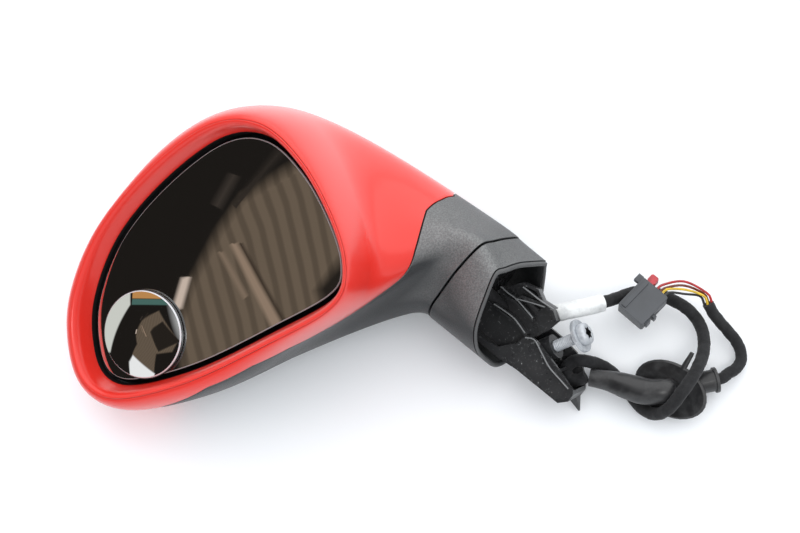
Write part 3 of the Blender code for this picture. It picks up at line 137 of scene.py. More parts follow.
def new_object(name, data):
    made = bpy.data.objects.new(name, data)
    scene.collection.objects.link(made)
    return made


# -------------------- camera
CAMERA_PLACE = (0.1387, -0.3334, 0.9199)
CAMERA_AIM = (0.0440, 0.0118, 0.0)
CAMERA_ROLL = 16.43
LENS = 62.3

eye = Vector(CAMERA_PLACE)
camera = new_object("camera", bpy.data.cameras.new("camera"))
camera.data.lens = LENS
camera.data.clip_start = 0.01
look = (Vector(CAMERA_AIM) - eye).to_track_quat("-Z", "Y").to_matrix().to_4x4()
roll = Matrix.Rotation(math.radians(-CAMERA_ROLL), 4, "Z")
camera.matrix_world = Matrix.Translation(eye) @ look @ roll
scene.camera = camera


# -------------------- curves and skins
def curve_span(p0, p1, p2, p3, steps=24):
    """A Catmull-Rom curve from p1 up to p2."""
    t = (np.arange(steps) / steps)[:, None]
    return 0.5 * (2 * p1 + (p2 - p0) * t + (2 * p0 - 5 * p1 + 4 * p2 - p3) * t**2
                  + (3 * p1 - p0 - 3 * p2 + p3) * t**3)


def unit_rows(rows):
    return rows / np.linalg.norm(rows, axis=1)[:, None]


def run_of(loop):
    """Unit vectors along a closed loop."""
    return unit_rows(np.roll(loop, -1, axis=0) - np.roll(loop, 1, axis=0))


def closed_spline(points):
    """A smooth loop through the points."""
    points = np.array(points, float)
    count = len(points)
    return np.concatenate([curve_span(points[i - 1], points[i], points[(i + 1) % count],
                                      points[(i + 2) % count]) for i in range(count)])


def open_spline(points, spacing):
    """A smooth curve through the points, read at equal steps."""
    points = np.array(points, float)
    padded = np.vstack([2 * points[0] - points[1], points, 2 * points[-1] - points[-2]])
    spans = [curve_span(*padded[i - 1:i + 3]) for i in range(1, len(padded) - 2)]
    dense = np.vstack([*spans, points[-1:]])
    run = np.concatenate([[0], np.cumsum(np.linalg.norm(np.diff(dense, axis=0), axis=1))])
    steps = np.linspace(0, run[-1], max(2, round(run[-1] / spacing) + 1))
    return np.stack([np.interp(steps, run, dense[:, k]) for k in range(3)], axis=1)


def rounded(section, times=2):
    """A closed section with its corners cut off, again and again."""
    section = np.array(section, float)
    for _ in range(times):
        following = np.roll(section, -1, axis=0)
        section = np.stack([section * 0.75 + following * 0.25, section * 0.25 + following * 0.75], axis=1)
        section = section.reshape(-1, 2)
    return section


def outward_offset(loop, distance):
    """A closed outline moved outwards by a distance."""
    run = run_of(loop)
    normal = np.stack([-run[:, 1], run[:, 0]], axis=1)
    if np.sum((loop - loop.mean(axis=0)) * normal) < 0:
        normal = -normal
    return loop + normal * np.reshape(distance, (-1, 1))


def at_angles(loop, angles, centre=(0.0, 0.0)):
    """An outline read at these angles round a centre."""
    arm = loop - centre
    own = np.arctan2(arm[:, 1], arm[:, 0])
    order = np.argsort(own)
    radius = np.interp(angles, own[order], np.hypot(arm[:, 0], arm[:, 1])[order], period=math.tau)
    return np.array(centre) + np.stack([np.cos(angles), np.sin(angles)], axis=1) * radius[:, None]


def bump(angles, centre, width, height):
    """A soft swelling round an angle in degrees."""
    away = (angles - math.radians(centre) + math.pi) % math.tau - math.pi
    return height * np.exp(-(away / math.radians(width)) ** 2)


angles = np.arange(RAILS) * math.tau / RAILS
glass_edge = closed_spline(GLASS_OUTLINE)
fold_point = np.array(FOLD_POINT)
fold_axis = np.array(FOLD_AXIS) / np.linalg.norm(FOLD_AXIS)
across = np.array(NECK_ACROSS) - fold_axis * np.dot(NECK_ACROSS, fold_axis)
across /= np.linalg.norm(across)
towards = np.cross(fold_axis, across)
neck_angles = math.radians(RAIL_TWIST) - angles


def around_glass(offset):
    return at_angles(outward_offset(glass_edge, offset), angles, GLASS_CENTRE)


def placed(outline, depth):
    """An outline (x, z) at a depth behind the glass face."""
    return np.stack([outline[:, 0], np.broadcast_to(depth, len(outline)), outline[:, 1]], axis=1)


def neck_point(outline, depth):
    """An outline across the fold axis, at a depth along it."""
    return (fold_point + outline[:, :1] * across + outline[:, 1:] * towards
            + np.reshape(depth, (-1, 1)) * fold_axis)


def widest_outline():
    edge = outward_offset(glass_edge, BEZEL_WIDTH)
    arm = edge - GLASS_CENTRE
    own = np.arctan2(arm[:, 1], arm[:, 0])
    swell = (BULGE_BASE + bump(own, 70, 50, BULGE_TOP) + bump(own, 185, 55, BULGE_OUTER)
             + bump(own, 262, 45, BULGE_BOTTOM))
    return at_angles(outward_offset(edge, swell), angles, GLASS_CENTRE)


seam_ring = placed(around_glass(BEZEL_WIDTH), BEZEL_SEAM_DEPTH)
widest_ring = placed(widest_outline(), WIDEST_DEPTH + bump(angles, 60, 60, WIDEST_DEPTH_TOP))
neck_outline = at_angles(closed_spline(NECK_OUTLINE), neck_angles)
neck_ring = neck_point(neck_outline, -SEAM)
rail_span = np.linalg.norm(neck_ring - widest_ring, axis=1)
fullness = FULLNESS + bump(angles, 70, 50, FULLNESS_TOP) - bump(angles, 205, 60, FULLNESS_OUTER)
straight = (NECK_STRAIGHT + NECK_STRAIGHT_FAR * np.maximum(0, -np.sin(neck_angles))
            + NECK_STRAIGHT_NEAR * np.maximum(0, np.sin(neck_angles)))
first_handle = widest_ring + np.outer(rail_span * fullness, (0, 1, 0))
second_handle = neck_ring - np.outer(straight, fold_axis)


def skin_ring(share):
    """The head's skin at a share of each rail: 0 is the bezel's seam and 1 the neck's end."""
    share = np.broadcast_to(share, RAILS)
    turn = np.clip(share / ROLL_SHARE, 0, 1)[:, None] * math.pi / 2
    forward = np.array([0.0, 1.0, 0.0])
    flat = widest_ring - seam_ring
    roll = seam_ring + flat * (1 - forward) * np.sin(turn) + flat * forward * (1 - np.cos(turn))
    t = np.clip((share - ROLL_SHARE) / (1 - ROLL_SHARE), 0, 1)[:, None]
    body = ((1 - t) ** 3 * widest_ring + 3 * (1 - t) ** 2 * t * first_handle
            + 3 * (1 - t) * t**2 * second_handle + t**3 * neck_ring)
    return np.where(share[:, None] < ROLL_SHARE, roll, body)


edge_angles, edge_shares = np.transpose(COVER_EDGE)
cover_edge = np.interp(angles, np.radians(edge_angles), edge_shares, period=math.tau)
edge_line = skin_ring(cover_edge)
rail_step = (skin_ring(cover_edge + 0.01) - edge_line) / 0.01
seam_share = SEAM / np.linalg.norm(np.cross(rail_step, run_of(edge_line)), axis=1)


def mouth_ring(outline, beyond=0.0):
    depth = (MOUTH_DEPTH + MOUTH_SLOPE_NEAR * outline[:, 1]
             + MOUTH_SLOPE_ACROSS * (outline[:, 0] - MOUTH_CENTRE_ACROSS) + beyond)
    return neck_point(outline, depth)


# -------------------- meshes
def loft_mesh(name, rings, capped=False, closed_along=False, on_table=False):
    """A skin over rings of points, which are in the table's axes or else in the mirror's."""
    around, count = len(rings[0]), len(rings)
    points = [Vector(map(float, point)) for ring in rings for point in ring]
    if not on_table:
        points = [mirror_place @ point for point in points]
    faces = []
    for j in range(count if closed_along else count - 1):
        k = (j + 1) % count
        for i in range(around):
            n = (i + 1) % around
            faces.append((j * around + i, j * around + n, k * around + n, k * around + i))
    if capped:
        faces.append(tuple(range(around)))
        faces.append(tuple((count - 1) * around + i for i in range(around)))
    mesh = bpy.data.meshes.new(name)
    mesh.from_pydata(points, [], faces)
    shape = bmesh.new()
    shape.from_mesh(mesh)
    bmesh.ops.recalc_face_normals(shape, faces=shape.faces)
    shape.to_mesh(mesh)
    shape.free()
    return mesh


def new_piece(name, rings, finish, body, *nodes, slot, crease=40, **loft):
    """A piece of the part: what it is made of, what it rides on and which nodes it replaces."""
    mesh = loft_mesh(name, rings, **loft)
    made = new_object(name, mesh)
    mesh.materials.append(finish)
    mesh.shade_smooth()
    mesh.set_sharp_from_angle(angle=math.radians(crease))
    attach(made, body)
    if nodes:
        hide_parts(*nodes)
    return made


def second_finish(made, finish, where):
    """Another finish for the faces that where(face, its middle in the mirror's axes) holds for."""
    made.data.materials.append(finish)
    for face in made.data.polygons:
        face.material_index = int(where(face, to_mirror @ face.center))


# -------------------- materials
def dimmed(colour, share):
    return tuple(share * channel for channel in colour)


def node_material(name, colour, roughness, metallic=0.0, **sockets):
    made = bpy.data.materials.new(name)
    made.use_nodes = True
    shader = made.node_tree.nodes["Principled BSDF"]
    shader.inputs["Base Color"].default_value = (*colour, 1.0)
    shader.inputs["Roughness"].default_value = roughness
    shader.inputs["Metallic"].default_value = metallic
    for socket, value in sockets.items():
        shader.inputs[socket.replace("_", " ")].default_value = value
    return made


def graph(material):
    return material.node_tree.nodes, material.node_tree.links


def noise_node(material, scale, detail=2.0, roughness=0.5):
    nodes, links = graph(material)
    texture = nodes.new("ShaderNodeTexNoise")
    texture.inputs["Scale"].default_value = scale
    texture.inputs["Detail"].default_value = detail
    texture.inputs["Roughness"].default_value = roughness
    links.new(nodes.new("ShaderNodeTexCoord").outputs["Object"], texture.inputs["Vector"])
    return texture.outputs["Fac"]


def ramp_node(material, source, *stops):
    """Stops are (position, value or colour)."""
    nodes, links = graph(material)
    ramp = nodes.new("ShaderNodeValToRGB")
    elements = ramp.color_ramp.elements
    for number, (position, value) in enumerate(stops):
        element = elements[number] if number < 2 else elements.new(position)
        element.position = position
        colour = (value, value, value) if isinstance(value, (int, float)) else value
        element.color = (*colour, 1.0)
    links.new(source, ramp.inputs["Fac"])
    return ramp.outputs["Color"]


def bump_node(material, source, distance, strength, before=None):
    nodes, links = graph(material)
    made = nodes.new("ShaderNodeBump")
    made.inputs["Distance"].default_value = distance
    made.inputs["Strength"].default_value = strength
    links.new(source, made.inputs["Height"])
    if before:
        links.new(before, made.inputs["Normal"])
    return made.outputs["Normal"]


def feed(material, **sockets):
    """The material, with these outputs linked to its shader."""
    shader = material.node_tree.nodes["Principled BSDF"]
    for socket, source in sockets.items():
        material.node_tree.links.new(source, shader.inputs[socket.replace("_", " ")])
    return material


def car_paint():
    made = node_material("red_paint", (0.74, 0.021, 0.011), 0.42, Coat_Weight=0.75, Coat_Roughness=0.20,
                         Specular_IOR_Level=0.25)
    flow = noise_node(made, 260, 1.0)
    return feed(made, Normal=bump_node(made, flow, 0.00003, 0.25))


def facing_up(material):
    """How far the surface faces up as the part lies, from -1 to 1; it stays with the piece when it moves."""
    nodes, links = graph(material)
    split = nodes.new("ShaderNodeSeparateXYZ")
    links.new(nodes.new("ShaderNodeTexCoord").outputs["Normal"], split.inputs["Vector"])
    return split.outputs["Z"]


def mixed(material, share, first, second):
    """Two colours by share; each is a colour or a node's output."""
    nodes, links = graph(material)
    mix = nodes.new("ShaderNodeMixRGB")
    links.new(share, mix.inputs["Fac"])
    for socket, source in (("Color1", first), ("Color2", second)):
        if isinstance(source, tuple):
            mix.inputs[socket].default_value = (*source, 1.0)
        else:
            links.new(source, mix.inputs[socket])
    return mix.outputs["Color"]


def grained_plastic(name, colour, roughness, grain=2600, depth=0.00009, dust=None, **sockets):
    """Moulded plastic with a fine grain and worn patches. If a dust colour is given, what faces up is painted
    that lighter speckled grey: dust and a painted highlight.
    """
    made = node_material(name, colour, roughness, **sockets)
    fine = noise_node(made, grain, 1.0)
    worn = noise_node(made, 28, 4.0, 0.6)
    finish = ramp_node(made, worn, (0.35, colour), (0.75, dimmed(colour, 1.5)))
    if dust:
        speckled_dust_and_top_highlight = ramp_node(made, noise_node(made, 950, 3.0, 0.7), (0.40, dimmed(dust, 0.6)), (0.62, dust))
        # What faces up turns lighter: speckled dust and a painted highlight where the light falls from above.
        finish = mixed(made, ramp_node(made, facing_up(made), (0.42, 0.0), (0.97, 1.0)), finish, speckled_dust_and_top_highlight)
    return feed(made, Normal=bump_node(made, fine, depth, 0.6), Base_Color=finish,
                Roughness=ramp_node(made, worn, (0.3, roughness - 0.06), (0.7, roughness + 0.08)))


def dusty_plastic():
    made = node_material("filled_black_plastic", (0.013, 0.013, 0.014), 0.30)
    dust = noise_node(made, 520, 5.0, 0.8)
    streaks = noise_node(made, 60, 3.0, 0.6)
    specks = ramp_node(made, dust, (0.575, (0.022, 0.022, 0.023)), (0.645, (0.09, 0.09, 0.09)),
                       (0.695, (0.45, 0.45, 0.44)))
    return feed(made, Base_Color=specks, Roughness=ramp_node(made, streaks, (0.3, 0.22), (0.7, 0.42)),
                Normal=bump_node(made, streaks, 0.0002, 0.3))


def zinc():
    made = node_material("zinc_plated_steel", (0.46, 0.48, 0.51), 0.48, metallic=0.55)
    cloud = noise_node(made, 380, 3.0, 0.6)
    return feed(made, Roughness=ramp_node(made, cloud, (0.3, 0.42), (0.7, 0.62)),
                Base_Color=ramp_node(made, cloud, (0.3, (0.40, 0.42, 0.45)), (0.7, (0.56, 0.58, 0.60))),
                Normal=bump_node(made, cloud, 0.00008, 0.4))


def rubber(name, colour=(0.014, 0.014, 0.015), roughness=0.36):
    made = node_material(name, colour, roughness)
    dusty = noise_node(made, 90, 4.0, 0.65)
    return feed(made, Roughness=ramp_node(made, dusty, (0.3, roughness - 0.08), (0.7, roughness + 0.15)),
                Base_Color=ramp_node(made, dusty, (0.45, colour), (0.85, (0.06, 0.06, 0.06))),
                Normal=bump_node(made, dusty, 0.0003, 0.3))


def cloth_tape():
    made = node_material("cloth_tape", (0.010, 0.010, 0.011), 0.80, Sheen_Weight=0.08, Sheen_Roughness=0.5,
                         Specular_IOR_Level=0.3)
    weave = noise_node(made, 2200)
    fuzz = noise_node(made, 160, 4.0, 0.7)
    faded = ramp_node(made, fuzz, (0.35, (0.007, 0.007, 0.008)), (0.75, (0.022, 0.022, 0.023)))
    return feed(made, Base_Color=faded,
                Normal=bump_node(made, fuzz, 0.0006, 0.5, bump_node(made, weave, 0.00015, 0.8)))


def paper():
    made = node_material("white_paper", (0.80, 0.80, 0.78), 0.45)
    creases_and_shade = noise_node(made, 130, 3.0, 0.6)
    # The paper is painted darker in the low parts of its crease bump: painted shade in the creases.
    return feed(made, Normal=bump_node(made, creases_and_shade, 0.0012, 0.6),
                Base_Color=ramp_node(made, creases_and_shade, (0.3, (0.62, 0.62, 0.61)), (0.55, (0.82, 0.82, 0.80))))


def coloured_plastic(name, colour):
    made = node_material(name, colour, 0.38)
    marks = noise_node(made, 300)
    return feed(made, Base_Color=ramp_node(made, marks, (0.35, dimmed(colour, 0.7)), (0.6, colour)))


def clouded(made, scale, light, rough):
    """A fine cloud that turns colour and roughness to these shares of what they were."""
    shader = made.node_tree.nodes["Principled BSDF"]
    base = tuple(shader.inputs["Base Color"].default_value)[:3]
    smooth = shader.inputs["Roughness"].default_value
    cloud = noise_node(made, scale, 3.0, 0.6)
    return feed(made, Base_Color=ramp_node(made, cloud, (0.3, base), (0.7, dimmed(base, light))),
                Roughness=ramp_node(made, cloud, (0.35, smooth), (0.75, smooth * rough)))


RED_PAINT = car_paint()
# The neck and sleeve are painted a lighter speckled grey on what faces up: dust and a painted highlight.
BLACK_PLASTIC = grained_plastic("grained_black_plastic", (0.024, 0.025, 0.026), 0.38, grain=1300,
                                depth=0.00035, dust=(0.225, 0.225, 0.22), Specular_IOR_Level=0.35)
HOUSING_PLASTIC = grained_plastic("smooth_black_plastic", (0.016, 0.016, 0.017), 0.30, depth=0.00002)
BRACKET_PLASTIC = dusty_plastic()
# A paler grey for the bracket's rounded edges and rib crests.
PALE_EDGE = grained_plastic("pale_edge_plastic", (0.17, 0.17, 0.17), 0.28, grain=900, depth=0.0001)
INNER_PLASTIC = grained_plastic("inner_plastic", (0.020, 0.020, 0.021), 0.55)
NATURAL_PLASTIC = grained_plastic("natural_plastic", (0.50, 0.49, 0.46), 0.45)
MIRROR = clouded(node_material("mirror_silver", (0.87, 0.88, 0.88), 0.010, metallic=1.0),
                 scale=24, light=0.985, rough=1.8)
GROUND_EDGE = clouded(node_material("ground_glass_edge", (0.44, 0.46, 0.46), 0.50),
                      scale=700, light=0.85, rough=1.25)
# A bright non-metal grey for the domed mirror's bevelled edge: a painted reflection of its silver rim.
RIM_PAINTED_REFLECTION = clouded(node_material("rim_painted_reflection", (0.72, 0.73, 0.74), 0.28), scale=300, light=0.93, rough=1.3)
# Near black that stands in for the shade in gaps, seams and recesses: painted shade.
PAINTED_SHADE_BLACK = clouded(node_material("shadowed_black", (0.006, 0.006, 0.006), 0.6, Specular_IOR_Level=0.15),
                    scale=200, light=1.5, rough=1.15)
ZINC = zinc()
STEEL = clouded(node_material("spring_steel", (0.36, 0.36, 0.37), 0.28, metallic=1.0),
                scale=400, light=0.9, rough=1.4)
RUBBER = rubber("black_rubber")
SEAL_RUBBER = rubber("grey_seal_rubber", (0.075, 0.075, 0.075), 0.45)
TAPE = cloth_tape()
PAPER = paper()
CONNECTOR_PLASTIC = grained_plastic("connector_plastic", (0.050, 0.053, 0.058), 0.42)
LOCK_PLASTIC = coloured_plastic("red_lock_plastic", (0.50, 0.045, 0.055))
FOAM = clouded(node_material("adhesive_foam", (0.70, 0.70, 0.68), 0.75), scale=1500, light=0.8, rough=1.2)
WIRES = {
    "wire_red": coloured_plastic("red_wire", (0.45, 0.02, 0.02)),
    "wire_brown": coloured_plastic("brown_wire", (0.20, 0.05, 0.025)),
    "wire_yellow": coloured_plastic("yellow_wire", (0.80, 0.52, 0.04)),
    "wire_black": coloured_plastic("black_wire", (0.03, 0.03, 0.03)),
}


# -------------------- wiring
CABLE_RADIUS, TAIL_RADIUS = 0.0042, 0.0039
CABLE_IN_MIRROR = (
    (0.1275, 0.0945, -0.0711), (0.1298, 0.0940, -0.0768), (0.1320, 0.0970, -0.0840),
    (0.1355, 0.1035, -0.0920), (0.1420, 0.1085, -0.1000), (0.1520, 0.1095, -0.1070),
)
CABLE_ON_TABLE = (
    (0.1606, -0.0367, 0.0335), (0.1747, -0.0332, 0.0310), (0.1919, -0.0268, 0.0250),
    (0.2069, -0.0188, 0.0150), (0.2198, -0.0194, 0.0140), (0.2304, -0.0240, 0.0135),
    (0.2425, -0.0322, 0.0130), (0.2498, -0.0457, 0.0150), (0.2498, -0.0619, 0.0200),
    (0.2440, -0.0770, 0.0278), (0.2370, -0.0884, 0.0325), (0.2303, -0.0968, 0.0322),
    (0.2239, -0.1034, 0.0250), (0.2166, -0.1046, 0.0140), (0.2100, -0.1004, 0.0065),
    (0.2051, -0.0951, 0.0047), (0.1976, -0.0835, 0.0047), (0.1895, -0.0731, 0.0060),
    (0.1808, -0.0686, 0.0120),
)
CABLE_BACK_IN_MIRROR = (
    (0.1708, 0.1155, -0.1449), (0.1665, 0.1163, -0.1428), (0.1612, 0.1163, -0.1425),
    (0.1565, 0.1163, -0.1445), (0.1547, 0.1163, -0.1490), (0.1565, 0.1163, -0.1535),
    (0.1610, 0.1162, -0.1557),
)
CONDUIT_ON_TABLE = (
    (0.1736, -0.0785, 0.0160), (0.1801, -0.0801, 0.0166), (0.1879, -0.0823, 0.0175),
    (0.1999, -0.0870, 0.0188), (0.2109, -0.0906, 0.0205), (0.2220, -0.0912, 0.0228),
    (0.2241, -0.0895, 0.0186),
)
CONDUIT_RADII = (0.0061, 0.0066, 0.0080, 0.0090, 0.0089, 0.0082, 0.0072)
LABEL_SPAN = (0.06, 0.62)
LABEL_RADIUS = 0.0060
GROMMET_PLACE = (0.2264, -0.0877, 0.0140)
GROMMET_FACE = (-0.423, -0.333, 0.843)
GROMMET_THICKNESS = 0.0035
BOSS_END = (0.2575, -0.0815, 0.0122)
TAIL_ON_TABLE = (
    (0.2648, -0.0773, 0.0105), (0.2712, -0.0735, 0.0090), (0.2750, -0.0677, 0.0080),
    (0.2755, -0.0621, 0.0080), (0.2730, -0.0543, 0.0090), (0.2681, -0.0478, 0.0105),
    (0.2643, -0.0432, 0.0120), (0.2584, -0.0362, 0.0155), (0.2549, -0.0306, 0.0200),
)
TAPE_PITCH, TAPE_STEP, TAPE_WRINKLE = 0.0085, 0.00022, 0.00022
LABEL_WALL, LABEL_CRUMPLE, HOSE_DENT = 0.0006, 0.05, 0.035


def on_table(points):
    return [tuple(mirror_place @ Vector(point)) for point in points]


def eased(path, times):
    """The path with its tightest bends opened out; its ends stay where they are."""
    path = path.copy()
    for _ in range(times):
        path[2:-2] = (path[1:-3] + 2 * path[2:-2] + path[3:-1]) / 4
    return path


def crosswise(path):
    """Unit vectors beside and over a path, without twist."""
    run = unit_rows(np.gradient(path, axis=0))
    side = [np.cross(run[0], (0.0, 0.0, 1.0))]
    for direction in run[1:]:
        side.append(side[-1] - direction * np.dot(side[-1], direction))
    side = unit_rows(np.array(side))
    return side, np.cross(side, run)


def length_of(path):
    return float(np.linalg.norm(np.diff(path, axis=0), axis=1).sum())


def tube_rings(path, around, reach):
    """Rings round a path. reach gives the radius at a step of the path and a turn round it."""
    side, over = crosswise(path)
    turns = [math.tau * n / around for n in range(around)]
    return [[centre + (side[k] * math.cos(turn) + over[k] * math.sin(turn)) * reach(k, turn)
             for turn in turns] for k, centre in enumerate(path)]


def wrapped_tube(path, radius):
    """Rings of a taped cable: the tape's overlapping edges and its wrinkles stand out of it."""
    spacing = length_of(path) / (len(path) - 1)

    def reach(k, turn):
        place = k * spacing
        lap = (place / TAPE_PITCH + turn / math.tau) % 1.0
        wrinkle = noise.noise(Vector((math.cos(turn) * 1.1, math.sin(turn) * 1.1, place * 340)))
        return radius + TAPE_STEP * (lap - 0.5) + wrinkle * TAPE_WRINKLE

    return tube_rings(path, CABLE_SIDES, reach)


def harness_cable():
    start, after = Vector(CONDUIT_ON_TABLE[0]), Vector(CONDUIT_ON_TABLE[1])
    into_conduit = (after - start).normalized()
    points = [*on_table(CABLE_IN_MIRROR), *CABLE_ON_TABLE, *on_table(CABLE_BACK_IN_MIRROR),
              tuple(start - into_conduit * 0.0025)]
    path = eased(open_spline(points, spacing=0.0011), CABLE_EASING)
    made = new_piece("taped_cable", wrapped_tube(path, CABLE_RADIUS), TAPE, "foot", "harness_cable",
                     slot="cloth_tape", crease=60, capped=True, on_table=True)
    return made, path


def tail_cable():
    end = Vector(BOSS_END)
    outwards = (end - Vector(GROMMET_PLACE)).normalized()
    points = [tuple(end + outwards * PIECE_GAP), tuple(end + outwards * 0.004), *TAIL_ON_TABLE]
    path = eased(open_spline(points, spacing=0.001), TAIL_EASING)
    made = new_piece("taped_tail", wrapped_tube(path, TAIL_RADIUS), TAPE, "foot", "tail_cable",
                     slot="cloth_tape", crease=60, capped=True, on_table=True)
    return made, path


def conduit():
    face = Vector(GROMMET_FACE).normalized()
    end = Vector(GROMMET_PLACE) + face * (GROMMET_THICKNESS / 2 + PIECE_GAP)
    path = open_spline([*CONDUIT_ON_TABLE, tuple(end)], spacing=0.0009)
    place = np.linspace(0, 1, len(path))
    radii = np.interp(place, np.linspace(0, 1, len(CONDUIT_RADII)), CONDUIT_RADII)
    radii = np.convolve(np.pad(radii, 4, mode="edge"), np.ones(9) / 9, mode="valid")

    def reach(k, turn):
        dent = noise.noise(Vector((math.cos(turn), math.sin(turn), place[k] * 5.0)) * 1.4)
        return radii[k] * (1 + HOSE_DENT * dent)

    rings = tube_rings(path, HOSE_SIDES, reach)
    for shrink in (0.82, 0.78):
        rings.insert(0, [path[0] + (np.array(point) - path[0]) * shrink for point in rings[0]])
    return new_piece("rubber_hose", rings, RUBBER, "foot", "rubber_conduit", slot="black_rubber",
                     capped=True, on_table=True)


def paper_label():
    path = open_spline([on_table(CABLE_IN_MIRROR)[-1], *CABLE_ON_TABLE[:4]], spacing=0.001)
    first, last = (round(share * (len(path) - 1)) for share in LABEL_SPAN)
    path = path[first:last + 1]

    def reach(k, turn):
        crumple = noise.noise(Vector((math.cos(turn) * 1.5, math.sin(turn) * 1.5, k * 0.12)))
        return LABEL_RADIUS * (1 + LABEL_CRUMPLE * crumple)

    outside = tube_rings(path, LABEL_SIDES, reach)
    inside = tube_rings(path, LABEL_SIDES, lambda k, turn: reach(k, turn) - LABEL_WALL)
    return new_piece("cable_label", outside + inside[::-1], PAPER, "foot", "blank_label", slot="white_paper",
                     crease=60, closed_along=True, on_table=True)


cable, cable_path = harness_cable()
tail, tail_path = tail_cable()
hose = conduit()
label = paper_label()


# -------------------- the head
def soft_edges(made, width, angle):
    """Rounds the edges that turn by more than an angle in degrees."""
    soften = made.modifiers.new("edge", "BEVEL")
    soften.width = width
    soften.segments = 2
    soften.limit_method = "ANGLE"
    soften.angle_limit = math.radians(angle)
    return soften


def walled(made):
    """A skin thickened inwards by the cover's wall, with its edges softened."""
    mesh = made.data
    middle = sum((vertex.co for vertex in mesh.vertices), Vector()) / len(mesh.vertices)
    outwards = sum(face.area * face.normal.dot(face.center - middle) for face in mesh.polygons)
    thicken = made.modifiers.new("wall", "SOLIDIFY")
    thicken.thickness = COVER_WALL
    thicken.offset = -1.0 if outwards > 0 else 1.0
    thicken.use_even_offset = True
    soft_edges(made, width=0.0003, angle=50)


def rear_cover():
    shares = np.linspace(0, 1, COVER_RINGS) ** 1.2
    rings = [skin_ring((cover_edge - seam_share) * share) for share in shares]
    walled(new_piece("painted_cover", rings, RED_PAINT, "head", "rear_cover", slot="red_paint", crease=60))


def neck_shell():
    start = cover_edge + seam_share
    rings = [skin_ring(start + (1 - start) * share) for share in np.linspace(0, 1, NECK_RINGS)]
    walled(new_piece("neck_cover", rings, BLACK_PLASTIC, "head", "neck_lower_shell",
                     slot="grained_black_plastic", crease=60))


def seam_strip():
    """The flange under the neck cover that closes its seam with the painted cover; its near black is painted
    shade in the seam.
    """
    top, base = SEAM_STRIP_DEPTHS
    rings = []
    for sunk, side in ((top, -1), (top, 1), (base, 1), (base, -1)):
        ring = skin_ring(cover_edge + side * SEAM_STRIP_REACH * seam_share)
        middle = ring.mean(axis=0)
        arm = np.linalg.norm(ring - middle, axis=1)[:, None]
        rings.append(middle + (ring - middle) * (1 - sunk / arm))
    # Near black: painted shade in the seam.
    new_piece("seam_strip", rings, PAINTED_SHADE_BLACK, "head", slot="grained_black_plastic", closed_along=True)


def bezel():
    ridge = BEZEL_WIDTH - 0.0007
    nose = BEZEL_SEAM_DEPTH - BEZEL_NOSE / 2
    behind_cover = BEZEL_WIDTH - COVER_WALL - PIECE_GAP
    section = (
        (BEZEL_WIDTH - 0.0001, BEZEL_SEAM_DEPTH - SEAM / 3), (BEZEL_WIDTH - 0.0003, nose + 0.0004),
        (ridge, nose), (ridge - 0.0018, nose + 0.0008), (ridge - 0.0036, nose + 0.0040),
        (LIP_CLEARANCE + 0.0022, -0.0070), (LIP_CLEARANCE + 0.0006, -0.0016), (LIP_CLEARANCE, 0.0012),
        (LIP_CLEARANCE, TUB_FRONT_DEPTH - PIECE_GAP), (TUB_OFFSET, TUB_FRONT_DEPTH - PIECE_GAP),
        (LIP_CLEARANCE + 0.0012 + BEZEL_WALL, -0.0068), (behind_cover, BEZEL_SEAM_DEPTH + 0.0015),
        (behind_cover, BEZEL_SEAM_DEPTH - SEAM / 3),
    )
    rings = [placed(around_glass(offset), depth) for offset, depth in rounded(section)]
    made = new_piece("bezel_frame", rings, RED_PAINT, "head", "bezel_ring", slot="red_paint", crease=60,
                     closed_along=True)
    # The bezel's throat, from BEZEL_THROAT down to the glass, is painted near black: painted shade.
    second_finish(made, PAINTED_SHADE_BLACK, lambda face, place: place.y > BEZEL_THROAT)


def mirror_pane():
    outline = [(0.0, GLASS_THICKNESS), (0.0, GLASS_CHAMFER), (-GLASS_CHAMFER, 0.0), (-0.0035, 0.0)]
    rings = [placed(around_glass(offset), depth) for offset, depth in outline]
    made = new_piece("mirror_pane", rings, MIRROR, "glass", "mirror_glass", slot="mirror_glass", capped=True)
    second_finish(made, GROUND_EDGE, lambda face, place: face.normal.dot(glass_facing) <= 0.95)


def dome_height(across, up):
    """How far the domed mirror's face stands off the glass, at a place measured from its middle."""
    bulge = SMALL_MIRROR_CROWN * (1 - (across**2 + up**2) / SMALL_MIRROR_RADIUS**2)
    return SMALL_MIRROR_HEIGHT + bulge + SMALL_MIRROR_LEAN[0] * across + SMALL_MIRROR_LEAN[1] * up


